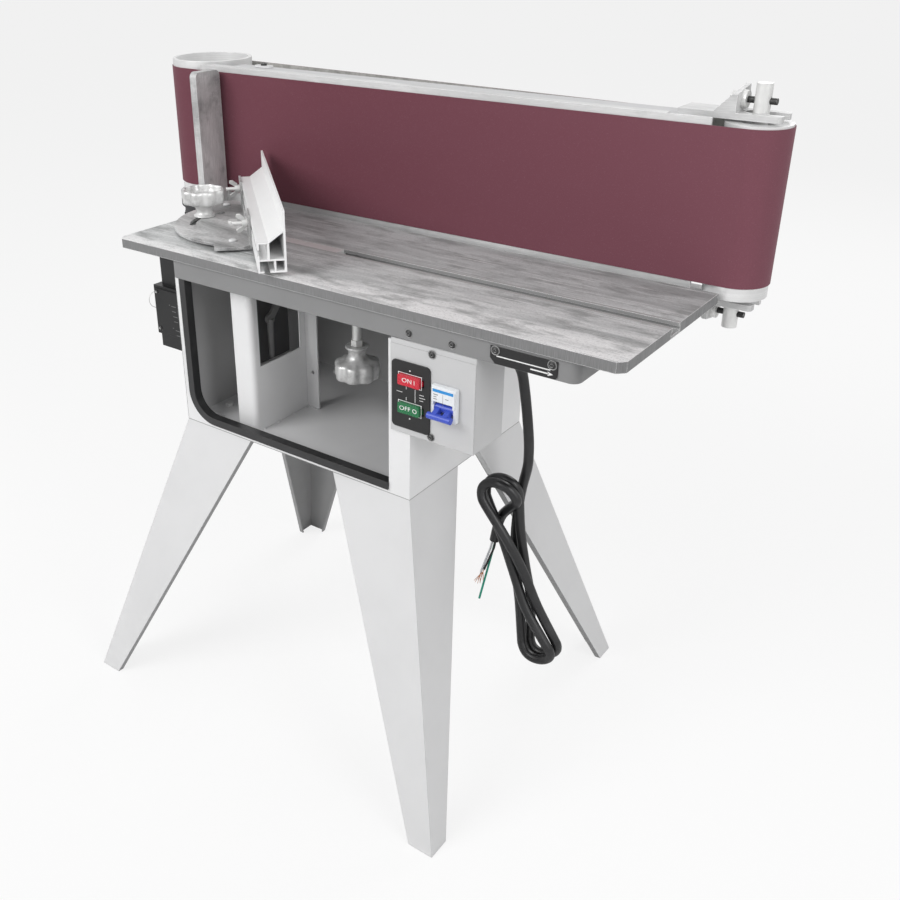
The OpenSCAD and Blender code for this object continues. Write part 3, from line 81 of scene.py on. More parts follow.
def make_camera():
    cam = bpy.data.objects.new("camera", bpy.data.cameras.new("camera"))
    bpy.context.scene.collection.objects.link(cam)
    az, el = math.radians(CAMERA_AZIMUTH), math.radians(CAMERA_ELEVATION)
    back = Vector((math.sin(az) * math.cos(el), -math.cos(az) * math.cos(el), math.sin(el)))
    cam.rotation_mode = "QUATERNION"
    roll = Quaternion((0, 0, 1), math.radians(CAMERA_ROLL))
    cam.rotation_quaternion = (-back).to_track_quat("-Z", "Y") @ roll
    cam.location = CAMERA_PLACE
    cam.data.lens = CAMERA_LENS
    cam.data.sensor_width = 36
    cam.data.shift_x, cam.data.shift_y = CAMERA_SHIFT
    cam.data.clip_end = 50
    bpy.context.scene.camera = cam


def area_light(name, place, aim, size, power):
    lamp = bpy.data.lights.new(name, "AREA")
    lamp.shape = "DISK"
    lamp.size = size
    lamp.energy = power
    obj = bpy.data.objects.new(name, lamp)
    bpy.context.scene.collection.objects.link(obj)
    obj.location = place
    obj.rotation_mode = "QUATERNION"
    obj.rotation_quaternion = (Vector(aim) - Vector(place)).to_track_quat("-Z", "Y")


def floor_material():
    """Pale floor that shows most of the white background, with the soft shadow kept."""
    m = bpy.data.materials.new("floor")
    m.use_nodes = True
    tree = m.node_tree
    bsdf = tree.nodes["Principled BSDF"]
    bsdf.inputs["Base Color"].default_value = (0.93, 0.93, 0.93, 1)
    bsdf.inputs["Roughness"].default_value = 0.8
    bsdf.inputs["Specular IOR Level"].default_value = 0.0
    white = tree.nodes.new("ShaderNodeEmission")
    white.inputs["Color"].default_value = (1.0, 1.0, 1.0, 1)
    white.inputs["Strength"].default_value = 1.0
    path = tree.nodes.new("ShaderNodeLightPath")
    share = tree.nodes.new("ShaderNodeMath")
    share.operation = "MULTIPLY"
    share.inputs[1].default_value = 0.80
    mix = tree.nodes.new("ShaderNodeMixShader")
    tree.links.new(path.outputs["Is Camera Ray"], share.inputs[0])
    tree.links.new(share.outputs[0], mix.inputs[0])
    tree.links.new(bsdf.outputs[0], mix.inputs[1])
    tree.links.new(white.outputs[0], mix.inputs[2])
    tree.links.new(mix.outputs[0], tree.nodes["Material Output"].inputs["Surface"])
    return m


def make_stage():
    scene = bpy.context.scene
    scene.view_settings.view_transform = "Standard"
    world = bpy.data.worlds.new("studio")
    scene.world = world
    world.use_nodes = True
    tree = world.node_tree
    light = tree.nodes["Background"]
    light.inputs["Color"].default_value = (1.0, 1.0, 1.0, 1)
    light.inputs["Strength"].default_value = 0.42
    white = tree.nodes.new("ShaderNodeBackground")
    white.inputs["Color"].default_value = (1.0, 1.0, 1.0, 1)
    path = tree.nodes.new("ShaderNodeLightPath")
    seen = [tree.nodes.new("ShaderNodeMath") for _ in range(2)]
    mix = tree.nodes.new("ShaderNodeMixShader")
    for node in seen:
        node.operation = "MAXIMUM"
    tree.links.new(path.outputs["Is Camera Ray"], seen[0].inputs[0])
    tree.links.new(path.outputs["Is Transmission Ray"], seen[0].inputs[1])
    tree.links.new(seen[0].outputs[0], seen[1].inputs[0])
    tree.links.new(path.outputs["Is Glossy Ray"], seen[1].inputs[1])
    tree.links.new(seen[1].outputs[0], mix.inputs[0])
    tree.links.new(light.outputs[0], mix.inputs[1])
    tree.links.new(white.outputs[0], mix.inputs[2])
    tree.links.new(mix.outputs[0], tree.nodes["World Output"].inputs["Surface"])
    area_light("key", (-1.1, -2.8, 2.6), (0, 0, 0.6), 2.2, 71)
    area_light("side", (3.2, -0.8, 2.2), (0, 0, 0.6), 1.8, 34)
    area_light("back", (0.4, 3.0, 2.6), (0, 0, 0.8), 1.8, 26)
    bm = bmesh.new()
    bmesh.ops.create_grid(bm, x_segments=1, y_segments=1, size=30)
    mesh = bpy.data.meshes.new("floor")
    bm.to_mesh(mesh)
    bm.free()
    floor = bpy.data.objects.new("floor", mesh)
    bpy.context.scene.collection.objects.link(floor)
    floor.location = (0, 0, -0.0006)
    mesh.materials.append(floor_material())


# Mesh helpers

def add_mesh(name, bm, material, body, smooth=False):
    """Turns a bmesh into a piece that rides on a body."""
    mesh = bpy.data.meshes.new(name)
    bmesh.ops.recalc_face_normals(bm, faces=bm.faces)
    bm.to_mesh(mesh)
    bm.free()
    if smooth:
        for p in mesh.polygons:
            p.use_smooth = True
    mesh.materials.append(material)
    obj = bpy.data.objects.new(name, mesh)
    bpy.context.scene.collection.objects.link(obj)
    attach(obj, body)
    return obj


def add_plates(bm, outlines, place, across, up, depth):
    """Flat outlines, in mm along two directions from a place, made into plates of a depth in mm."""
    out = across.cross(up)
    for outline in outlines:
        front = [bm.verts.new(place + (across * u + up * v) * MM) for u, v in outline]
        rear = [bm.verts.new(v.co - out * depth * MM) for v in front]
        bm.faces.new(front)
        bm.faces.new(rear[::-1])
        for i in range(len(front)):
            j = (i + 1) % len(front)
            bm.faces.new([front[i], rear[i], rear[j], front[j]])


def rectangle(u, v, w, h):
    return [(u, v), (u + w, v), (u + w, v + h), (u, v + h)]


def rounded(u, v, w, h, r, steps=5):
    left, right, low, high = u + r, u + w - r, v + r, v + h - r
    points = []
    for cu, cv, start in ((right, low, -90), (right, high, 0), (left, high, 90), (left, low, 180)):
        for k in range(steps + 1):
            a = math.radians(start + 90 * k / steps)
            points.append((cu + r * math.cos(a), cv + r * math.sin(a)))
    return points


def disc(u, v, r, steps=20):
    angles = [2 * math.pi * k / steps for k in range(steps)]
    return [(u + r * math.cos(a), v + r * math.sin(a)) for a in angles]


def lathe(bm, place, axis, profile, steps=40, lobes=0):
    """Revolves a profile of (radius, height, depth of the lobes' valleys) in mm round an axis."""
    axis = Vector(axis).normalized()
    side = axis.orthogonal().normalized()
    other = axis.cross(side)
    rings = []
    for r, h, *valley in profile:
        ring = []
        for k in range(steps):
            a = 2 * math.pi * k / steps
            drawn_in = valley[0] * (0.5 + 0.5 * math.cos(lobes * a)) ** 1.6 if valley else 0
            around = side * math.cos(a) + other * math.sin(a)
            ring.append(bm.verts.new(place + (axis * h + around * (r - drawn_in)) * MM))
        rings.append(ring)
    for low, high in zip(rings, rings[1:]):
        for k in range(steps):
            j = (k + 1) % steps
            bm.faces.new([low[k], low[j], high[j], high[k]])
    return rings


def smooth_path(points, steps):
    """A Catmull-Rom curve through the points."""
    p = [points[0] * 2 - points[1]] + list(points) + [points[-1] * 2 - points[-2]]
    path = []
    for i in range(1, len(p) - 2):
        for k in range(steps):
            t = k / steps
            path.append(0.5 * (2 * p[i] + (p[i + 1] - p[i - 1]) * t
                               + (2 * p[i - 1] - 5 * p[i] + 4 * p[i + 1] - p[i + 2]) * t * t
                               + (3 * p[i] - p[i - 1] - 3 * p[i + 1] + p[i + 2]) * t ** 3))
    path.append(p[-2])
    return path


def wire(name, path, diameter, material, body, ring_points=3):
    """A round wire along a path, as a curve with closed ends."""
    curve = bpy.data.curves.new(name, "CURVE")
    curve.dimensions = "3D"
    curve.bevel_depth = diameter / 2
    curve.bevel_resolution = ring_points
    curve.use_fill_caps = True
    spline = curve.splines.new("POLY")
    spline.points.add(len(path) - 1)
    for point, place in zip(spline.points, path):
        point.co = (*place, 1)
    curve.materials.append(material)
    obj = bpy.data.objects.new(name, curve)
    bpy.context.scene.collection.objects.link(obj)
    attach(obj, body)
    return obj


# Material helpers

class Shader:
    """A procedural material: textures run in the object's own metres, so they move with its body."""

    def __init__(self, name, roughness, metallic=0.0, **constants):
        self.material = bpy.data.materials.new(name)
        self.material.use_nodes = True
        self.tree = self.material.node_tree
        self.bsdf = self.tree.nodes["Principled BSDF"]
        self.bsdf.inputs["Roughness"].default_value = roughness
        self.bsdf.inputs["Metallic"].default_value = metallic
        for key, value in constants.items():
            self.bsdf.inputs[key.replace("_", " ")].default_value = value
        self.place = self.tree.nodes.new("ShaderNodeTexCoord").outputs["Object"]

    def node(self, kind, settings=None, **inputs):
        n = self.tree.nodes.new(kind)
        for key, value in (settings or {}).items():
            setattr(n, key, value)
        for key, value in inputs.items():
            numbered = key[0] == "i" and key[1:].isdigit()
            socket = n.inputs[int(key[1:]) if numbered else key.replace("_", " ")]
            if isinstance(value, bpy.types.NodeSocket):
                self.tree.links.new(value, socket)
            else:
                socket.default_value = value
        return n

    def math(self, operation, a, b):
        return self.node("ShaderNodeMath", {"operation": operation}, i0=a, i1=b).outputs[0]

    def vector(self, operation, a, b):
        return self.node("ShaderNodeVectorMath", {"operation": operation}, i0=a, i1=b)

    def noise(self, scale, detail=3.0, roughness=0.5, stretch=(1, 1, 1), shift=(0, 0, 0), distortion=0.0):
        mapping = self.node("ShaderNodeMapping", Vector=self.place, Scale=stretch, Location=shift)
        return self.node("ShaderNodeTexNoise", Vector=mapping.outputs[0], Scale=scale, Detail=detail,
                         Roughness=roughness, Distortion=distortion).outputs["Fac"]

    def spread(self, value, low, high, to_low=0.0, to_high=1.0):
        return self.node("ShaderNodeMapRange", {"clamp": True}, Value=value, From_Min=low, From_Max=high,
                         To_Min=to_low, To_Max=to_high).outputs[0]

    def mix(self, share, a, b):
        n = self.node("ShaderNodeMix", {"data_type": "RGBA"})
        for index, value in ((0, share), (6, a), (7, b)):
            if isinstance(value, bpy.types.NodeSocket):
                self.tree.links.new(value, n.inputs[index])
            else:
                n.inputs[index].default_value = value if index == 0 else (*value, 1)
        return n.outputs[2]

    def color(self, socket):
        self.tree.links.new(socket, self.bsdf.inputs["Base Color"])
        return self

    def rough(self, socket):
        self.tree.links.new(socket, self.bsdf.inputs["Roughness"])
        return self

    def normal(self, height, depth, strength, edge=0.0006):
        """Rounds the edges a little and adds a bump."""
        rounded_edge = self.node("ShaderNodeBevel", {"samples": 4}, Radius=edge).outputs[0]
        bump = self.node("ShaderNodeBump", Height=height, Distance=depth, Strength=strength,
                         Normal=rounded_edge)
        self.tree.links.new(bump.outputs[0], self.bsdf.inputs["Normal"])
        return self

    def edges(self, radius, low=0.02, high=0.18):
        """1 along edges, 0 on flat faces."""
        bevel = self.node("ShaderNodeBevel", {"samples": 4}, Radius=radius).outputs[0]
        flat = self.node("ShaderNodeNewGeometry").outputs["True Normal"]
        dot = self.vector("DOT_PRODUCT", bevel, flat).outputs["Value"]
        return self.spread(self.math("SUBTRACT", 1.0, dot), low, high)


def shade(color, share):
    """A colour darkened to a share of itself."""
    return tuple(share * c for c in color)


def orange_peel(s, rough):
    """The fine unevenness of a powder coat, which ends the coat's material."""
    s.rough(s.spread(s.noise(35, 4), 0.3, 0.7, rough - 0.06, rough + 0.08))
    return s.normal(s.noise(900, 2), 0.00003, 0.5).material


def painted(name, color, rough=0.42, grime=0.10):
    """Powder coat: fine orange peel, faint handling marks, and edges darkened partly by rubbed wear and partly
    as painted shade.
    """
    s = Shader(name, rough)
    cloud = s.spread(s.noise(7, 5, 0.6), 0.42, 0.72)
    worn = s.spread(s.noise(160, 4, 0.6), 0.45, 0.62, 0.45, 1.0)
    tone = s.mix(s.math("MULTIPLY", cloud, 0.5), color, shade(color, 1 - grime))
    # Edges darken everywhere and more in patches: painted shade along the edges, with rubbed wear on top.
    edge_wear_and_shade = s.math("MULTIPLY", s.math("MULTIPLY", s.edges(0.0014), worn), 0.55)
    s.color(s.mix(edge_wear_and_shade, tone, shade(color, 0.42)))
    return orange_peel(s, rough)


def leg_paint_and_shade():
    """White powder coat, with painted shade on the legs' inner faces, which look towards the machine's middle,
    and a painted shade line along the edges.
    """
    white, inner, rough = (0.71, 0.71, 0.715), (0.30, 0.30, 0.302), 0.42
    s = Shader("leg_paint_and_shade", rough)
    middle = at((CABINET_LEFT + CABINET_RIGHT) / 2, (CABINET_FRONT + CABINET_BACK) / 2, 0)
    inward = s.vector("SUBTRACT", middle, s.place).outputs[0]
    level = s.vector("MULTIPLY", inward, (1.0, 1.0, 0.0)).outputs[0]
    facing = s.node("ShaderNodeTexCoord").outputs["Normal"]
    dot = s.vector("DOT_PRODUCT", level, facing).outputs["Value"]
    cloud = s.spread(s.noise(7, 5, 0.6), 0.42, 0.72)
    tone = s.mix(s.math("MULTIPLY", cloud, 0.5), white, shade(white, 0.9))
    # Painted shade: faces that look towards the machine's middle take the dark inner tone.
    tone = s.mix(s.math("GREATER_THAN", dot, 0.02), tone, inner)
    # Painted shade: a dark line along every edge of the legs.
    s.color(s.mix(s.math("MULTIPLY", s.edges(0.0014), 0.45), tone, shade(white, 0.42)))
    return orange_peel(s, rough)


def cabinet_paint_and_shade():
    """White powder coat outside; inside, painted shade makes the floor a little darker and the walls darker
    upwards and towards the back, with a painted shadow line along the outer foot.
    """
    white, rough = (0.80, 0.80, 0.805), 0.42
    low_inside_shade, high_inside_shade, behind = (0.56, 0.56, 0.565), (0.40, 0.40, 0.402), (0.15, 0.15, 0.152)
    under_floor, over_floor, dark_from, dark_at = 0.4705, 0.4727, 0.475, 0.64
    s = Shader("cabinet_paint_and_shade", rough)
    x, y, z = s.node("ShaderNodeSeparateXYZ", Vector=s.place).outputs
    left, right = at(CABINET_LEFT, 0, 0).x, at(CABINET_RIGHT, 0, 0).x
    front, back = at(0, CABINET_FRONT, 0).y, at(0, CABINET_BACK, 0).y
    skin = (CABINET_SHEET - 0.1) * MM
    inside = s.math("GREATER_THAN", x, left + skin)
    for value, limit in ((x, right - skin), (y, back - skin)):
        inside = s.math("MULTIPLY", inside, s.math("LESS_THAN", value, limit))
    inside = s.math("MULTIPLY", inside, s.math("GREATER_THAN", y, front + (CABINET_SHEET + 0.2) * MM))
    # Painted shade: the inner walls darken upwards and towards the back, and the inner floor is a little
    # darker than the outside.
    wall = s.math("MULTIPLY", inside, s.math("GREATER_THAN", z, over_floor))
    ground = s.math("MULTIPLY", inside, s.math("GREATER_THAN", z, under_floor))
    rise = s.spread(z, dark_from, dark_at)
    depth = s.spread(y, front, back, 0.0, 0.35)
    side = s.mix(s.math("MINIMUM", s.math("ADD", rise, depth), 1.0), low_inside_shade, high_inside_shade)
    tone = s.mix(ground, white, (0.70, 0.70, 0.705))
    tone = s.mix(wall, tone, side)
    # The clamp's plate behind the left wall's opening, coloured dark as painted shade of the recess
    before, after = s.math("LESS_THAN", x, left + 0.9 * MM), s.math("GREATER_THAN", x, left + 0.2 * MM)
    plate = s.math("MULTIPLY", before, after)
    tone = s.mix(plate, tone, behind)
    # Painted shadow: a dark line along the outer foot of the cabinet, where it meets the legs.
    outside = s.math("SUBTRACT", 1.0, inside)
    foot = s.math("MULTIPLY", s.math("LESS_THAN", z, under_floor + 0.2 * MM), outside)
    tone = s.mix(s.math("MULTIPLY", foot, 0.75), tone, (0.10, 0.10, 0.10))
    cloud = s.spread(s.noise(7, 5, 0.6), 0.42, 0.72)
    dull = s.node("ShaderNodeMix", {"data_type": "RGBA", "blend_type": "MULTIPLY"})
    s.tree.links.new(s.math("MULTIPLY", cloud, 0.5), dull.inputs[0])
    s.tree.links.new(tone, dull.inputs[6])
    dull.inputs[7].default_value = (0.88, 0.88, 0.88, 1)
    s.color(dull.outputs[2])
    return orange_peel(s, rough)


def ground_steel(name, light, dark, stains, rough=0.36, metallic=0.75, along=(6, 260, 260)):
    """Ground steel: fine lines along the grind, cloudy stains, scratches and bright edges."""
    s = Shader(name, rough, metallic)
    lines = s.noise(6, 3, 0.6, stretch=along)
    clouds = s.noise(9, 6, 0.62, stretch=(0.45, 1.3, 1.0), distortion=0.6)
    blots = s.noise(26, 5, 0.6, stretch=(0.6, 1.4, 1.0), shift=(3, 1, 0))
    tone = s.mix(s.spread(clouds, 0.36, 0.66), light, dark)
    tone = s.mix(s.math("MULTIPLY", s.spread(blots, 0.55, 0.72), stains), tone, shade(dark, 0.45))
    tone = s.mix(s.math("MULTIPLY", s.spread(lines, 0.35, 0.75), 0.35), tone, shade(dark, 0.6))
    scratch = s.spread(s.noise(16, 1, 0.5, stretch=(0.5, 40, 40), shift=(1, 2, 3)), 0.66, 0.70)
    tone = s.mix(s.math("MULTIPLY", scratch, 0.3), tone, light)
    s.color(s.mix(s.edges(0.0010), tone, (0.86, 0.86, 0.86)))
    s.rough(s.spread(clouds, 0.3, 0.7, rough - 0.10, rough + 0.14))
    return s.normal(lines, 0.00004, 0.5).material


def table_steel():
    """Ground cast table: bright cloudy top with streaks along X, lit towards the front by a painted highlight,
    bright corners, grey sawn sides.
    """
    s = Shader("table_steel", 0.44, 0.12)
    up = s.node("ShaderNodeSeparateXYZ", Vector=s.node("ShaderNodeTexCoord").outputs["Normal"]).outputs[2]
    lines = s.noise(6, 3, 0.6, stretch=(5, 300, 300))
    bands = s.noise(5, 5, 0.62, stretch=(0.30, 2.6, 1.0), distortion=0.5)
    blots = s.noise(24, 6, 0.66, stretch=(0.5, 1.5, 1.0), shift=(3, 1, 0))
    specks = s.noise(420, 3, 0.7, stretch=(0.7, 1.2, 1.0))
    y = s.node("ShaderNodeSeparateXYZ", Vector=s.place).outputs[1]
    # Painted highlight and shade: the top is lighter towards its front edge and darker towards the belt.
    highlight_at, shade_from = at(0, -290, 0).y, at(0, -60, 0).y
    light = s.mix(s.spread(y, highlight_at, shade_from), (1.0, 1.0, 1.0), (0.61, 0.64, 0.64))
    top = s.mix(s.spread(bands, 0.42, 0.66), light, (0.37, 0.39, 0.39))
    top = s.mix(s.math("MULTIPLY", s.spread(blots, 0.48, 0.64), 0.70), top, (0.20, 0.205, 0.205))
    top = s.mix(s.math("MULTIPLY", s.spread(specks, 0.50, 0.66), 0.40), top, (0.22, 0.22, 0.22))
    top = s.mix(s.math("MULTIPLY", s.spread(lines, 0.40, 0.70), 0.30), top, (0.30, 0.30, 0.30))
    scratch = s.spread(s.noise(14, 1, 0.5, stretch=(0.5, 40, 40), shift=(1, 2, 3)), 0.655, 0.69)
    top = s.mix(s.math("MULTIPLY", scratch, 0.6), top, (0.95, 0.95, 0.95))
    sawn = s.noise(7, 3, 0.6, stretch=(130, 130, 5))
    side = s.mix(s.spread(sawn, 0.35, 0.70), (0.24, 0.24, 0.242), (0.15, 0.15, 0.152))
    # Painted light: near the slot the sawn walls are coloured lighter, as the groove is lit, and the top there
    # is an even mid grey.
    from_slot = s.math("ABSOLUTE", s.math("SUBTRACT", y, at(0, SLOT_Y, 0).y), 0.0)
    slot = s.math("LESS_THAN", from_slot, 15 * MM)
    side = s.mix(slot, side, (0.34, 0.34, 0.34))
    top = s.mix(slot, top, (0.42, 0.42, 0.42))
    tone = s.mix(s.spread(up, 0.5, 0.7), side, top)
    s.color(s.mix(s.edges(0.0013), tone, (0.95, 0.95, 0.95)))
    s.rough(s.spread(blots, 0.3, 0.7, 0.38, 0.58))
    return s.normal(lines, 0.00004, 0.4).material


def plain_steel(name, color, rough=0.32, metallic=0.85, grain=420, wear=0.25, edge=0.0006):
    """Turned or plated small steel parts, with fine grain and dark specks."""
    s = Shader(name, rough, metallic)
    grain_noise = s.noise(grain, 3)
    cloud = s.noise(40, 4, 0.6)
    tone = s.mix(s.math("MULTIPLY", s.spread(cloud, 0.45, 0.75), wear), color, shade(color, 0.5))
    s.color(s.mix(s.math("MULTIPLY", s.edges(0.0007), 0.6), tone, (0.92, 0.92, 0.92)))
    s.rough(s.spread(grain_noise, 0.3, 0.7, rough - 0.05, rough + 0.12))
    return s.normal(grain_noise, 0.00003, 0.4, edge).material


def turned(name, color, centre, rough=0.30, metallic=0.8):
    """Turned on a lathe: fine rings round an upright axis."""
    s = Shader(name, rough, metallic)
    offset = s.vector("SUBTRACT", s.place, centre).outputs[0]
    parts = s.node("ShaderNodeSeparateXYZ", Vector=offset)
    flat = s.node("ShaderNodeCombineXYZ", X=parts.outputs[0], Y=parts.outputs[1])
    radius = s.node("ShaderNodeVectorMath", {"operation": "LENGTH"}, i0=flat.outputs[0]).outputs["Value"]
    across = s.node("ShaderNodeCombineXYZ", X=radius, Y=parts.outputs[2])
    rings = s.node("ShaderNodeTexNoise", Vector=across.outputs[0], Scale=1100.0, Detail=2.0).outputs["Fac"]
    cloud = s.noise(14, 4, 0.6)
    tone = s.mix(s.spread(rings, 0.3, 0.7), color, shade(color, 0.82))
    tone = s.mix(s.math("MULTIPLY", s.spread(cloud, 0.5, 0.75), 0.35), tone, shade(color, 0.55))
    s.color(s.mix(s.edges(0.0010), tone, (0.95, 0.95, 0.95)))
    s.rough(s.spread(rings, 0.3, 0.7, rough - 0.06, rough + 0.10))
    return s.normal(rings, 0.00003, 0.5).material


def cast(name, color):
    """Polished casting: bright faces with cloudy dark film."""
    s = Shader(name, 0.34, 0.35)
    cloud = s.noise(60, 5, 0.65)
    tone = s.mix(s.math("MULTIPLY", s.spread(cloud, 0.46, 0.66), 0.60), color, shade(color, 0.42))
    s.color(s.mix(s.math("MULTIPLY", s.edges(0.0016), 0.5), tone, (0.93, 0.93, 0.93)))
    s.rough(s.spread(s.noise(150, 3), 0.3, 0.7, 0.28, 0.44))
    return s.normal(s.noise(110, 4), 0.00012, 0.3, 0.0018).material


def moulded(name, color, rough=0.35, grain=700):
    """Moulded plastic with a fine grain and a slight unevenness of tone."""
    s = Shader(name, rough)
    cloud = s.spread(s.noise(30, 3), 0.35, 0.7)
    paler = tuple(min(1.0, 1.25 * c + 0.004) for c in color)
    s.color(s.mix(s.math("MULTIPLY", cloud, 0.35), color, paler))
    s.rough(s.spread(s.noise(grain, 2), 0.3, 0.7, rough - 0.05, rough + 0.10))
    return s.normal(s.noise(grain, 2), 0.00003, 0.4, 0.0008).material


def rubber(name, color, rough=0.55):
    """Rubber: dusty on top of a dark body, with fine pits."""
    s = Shader(name, rough)
    dust = s.spread(s.noise(24, 5, 0.6), 0.5, 0.8)
    s.color(s.mix(s.math("MULTIPLY", dust, 0.4), color, tuple(c * 2.0 + 0.03 for c in color)))
    s.rough(s.spread(dust, 0.0, 1.0, rough - 0.08, rough + 0.15))
    return s.normal(s.noise(1200, 2), 0.00004, 0.6, 0.0008).material


def belt_cloth():
    """Abrasive outside, woven backing inside, told apart by the normal and the line between the drums."""
    s = Shader("belt_grit", 0.85, Sheen_Weight=0.12, Sheen_Roughness=0.4)
    drive, idler = at(*DRIVE_AXIS, 0), at(*IDLER_AXIS, 0)
    parts = s.node("ShaderNodeSeparateXYZ", Vector=s.place)
    along = s.spread(parts.outputs[0], drive.x, idler.x)
    middle_x = s.spread(along, 0, 1, drive.x, idler.x)
    middle_y = s.spread(along, 0, 1, drive.y, idler.y)
    dx = s.math("SUBTRACT", parts.outputs[0], middle_x)
    dy = s.math("SUBTRACT", parts.outputs[1], middle_y)
    facing = s.node("ShaderNodeSeparateXYZ", Vector=s.node("ShaderNodeTexCoord").outputs["Normal"])
    out = s.math("ADD", s.math("MULTIPLY", dx, facing.outputs[0]), s.math("MULTIPLY", dy, facing.outputs[1]))
    inside = s.math("LESS_THAN", out, -0.001)
    grains = s.noise(1500, 2, 0.7)
    clouds = s.noise(3.5, 4, 0.6, stretch=(0.5, 1, 1.5))
    grit = s.mix(s.spread(grains, 0.34, 0.70), (0.100, 0.023, 0.037), (0.182, 0.049, 0.072))
    grit = s.mix(s.math("MULTIPLY", s.spread(clouds, 0.35, 0.7), 0.25), grit, (0.160, 0.054, 0.076))
    # Painted light: the grit is lighter towards the idler's end, as a sheen across the belt.
    grit = s.mix(s.spread(along, 0.35, 1.0, 0.0, 0.38), grit, (0.235, 0.088, 0.118))
    spark = s.spread(s.noise(900, 1), 0.66, 0.74)
    grit = s.mix(s.math("MULTIPLY", spark, 0.30), grit, (0.32, 0.16, 0.19))
    cloth = s.mix(s.spread(s.noise(60, 6, 0.7), 0.35, 0.65), (0.50, 0.49, 0.47), (0.30, 0.295, 0.28))
    s.color(s.mix(inside, grit, cloth))
    return s.normal(grains, 0.0002, 0.5, 0.0003).material


def copper_strands():
    s = Shader("bare_copper", 0.32, 0.95)
    s.color(s.mix(s.spread(s.noise(300, 3), 0.35, 0.65), (0.72, 0.36, 0.22), (0.50, 0.22, 0.13)))
    return s.material


make_camera()
make_stage()

WHITE = painted("white_paint", (0.80, 0.80, 0.805))
CABINET = cabinet_paint_and_shade()
LEG = leg_paint_and_shade()
GREY = painted("grey_paint", (0.575, 0.575, 0.58), 0.45)
HEAD = painted("head_paint", (0.60, 0.60, 0.61), 0.45)
MOTOR = painted("motor_paint", (0.035, 0.035, 0.038), 0.5, 0.0)
TABLE = table_steel()
RAIL = painted("rail_steel", (0.24, 0.24, 0.242), 0.40, 0.2)
STOP = ground_steel("stop_steel", (0.72, 0.72, 0.72), (0.28, 0.28, 0.28), 0.6, 0.46, 0.3, (120, 120, 5))
PLATE = ground_steel("plate_steel", (0.92, 0.92, 0.92), (0.24, 0.24, 0.24), 0.85, 0.44, 0.3, (30, 30, 30))
PLATEN = ground_steel("platen_steel", (0.80, 0.80, 0.80), (0.58, 0.58, 0.58), 0.3, 0.40, 0.25)
ZINC = plain_steel("zinc_steel", (0.84, 0.84, 0.83), 0.34, 0.4)
BLACK_STEEL = plain_steel("black_steel", (0.045, 0.045, 0.045), 0.42, 0.5)
WASHER = plain_steel("washer_steel", (0.17, 0.17, 0.17), 0.38, 0.4)
LEVER_STEEL = plain_steel("lever_steel", (0.42, 0.42, 0.42), 0.42, 0.3)
KNOB = cast("cast_aluminium", (0.76, 0.76, 0.755))
FENCE = plain_steel("fence_aluminium", (0.92, 0.92, 0.92), 0.42, 0.12, 260, 0.05)
DRIVE = turned("drum_aluminium", (0.90, 0.90, 0.90), at(*DRIVE_AXIS, 0), 0.34, 0.3)
IDLER = turned("idler_aluminium", (0.88, 0.88, 0.88), at(*IDLER_AXIS, 0), 0.32, 0.25)
TRIM = rubber("trim_rubber", (0.018, 0.018, 0.019), 0.45)
CORD = rubber("cord_rubber", (0.014, 0.014, 0.015), 0.42)
BLACK = moulded("black_plastic", (0.006, 0.006, 0.0065), 0.42)
RED = moulded("red_plastic", (0.55, 0.012, 0.032), 0.25)
GREEN = moulded("green_plastic", (0.008, 0.155, 0.052), 0.25)
CREAM = moulded("white_plastic", (0.78, 0.80, 0.83), 0.28)
BLUE = moulded("blue_plastic", (0.045, 0.085, 0.52), 0.28)
WIRE_GREEN = moulded("green_sheath", (0.010, 0.36, 0.24), 0.3)
PRINT = moulded("white_print", (0.86, 0.86, 0.86), 0.5)
BLUE_PRINT = moulded("blue_print", (0.02, 0.27, 0.66), 0.4)
GREY_PRINT = moulded("grey_print", (0.17, 0.17, 0.17), 0.5)
BELT = belt_cloth()
COPPER = copper_strands()

MATERIAL_OF = {
    CABINET: ["cabinet_shell"],
    WHITE: ["column", "hinge_brackets"],
    LEG: ["leg_front_left", "leg_front_right", "leg_rear_left", "leg_rear_right"],
    GREY: ["control_box", "control_cover"],
    HEAD: ["head_beam", "drive_plate", "hinge_arms", "lock_quadrant"],
    MOTOR: ["motor_body", "fan_cover"],
    TABLE: ["table_top"],
    RAIL: ["underframe"],
    STOP: ["stop_bar"],
    PLATE: ["miter_plate", "fence_bracket"],
    PLATEN: ["platen", "fork_top", "fork_bottom", "motor_shaft", "idler_bearings"],
    ZINC: ["leg_bolts", "frame_bolts", "table_stud", "clamp_sleeve", "miter_bar", "miter_stud", "miter_pivot",
           "fence_bolts", "wing_nut_front", "wing_nut_rear", "tilt_pins", "idler_axle", "tension_nuts"],
    BLACK_STEEL: ["cover_screws", "tension_bolts"],
    LEVER_STEEL: ["lock_lever"],
    KNOB: ["table_knob", "miter_knob"],
    FENCE: ["fence"],
    DRIVE: ["drive_drum"],
    IDLER: ["idler_drum"],
    TRIM: ["window_trim"],
    BLACK: ["switch_plate", "arrow_plate", "cable_gland", "terminal_box", "motor_fan"],
    RED: ["on_key"],
    GREEN: ["off_key"],
    CREAM: ["breaker_body"],
    BLUE: ["breaker_lever"],
    BELT: ["sanding_belt"],
}
for material, names in MATERIAL_OF.items():
    for name in names:
        nodes[name].data.materials.clear()
        nodes[name].data.materials.append(material)


# Cord: the route of the CAD source, then its hank twisted by half a turn from top to bottom, and a short tail

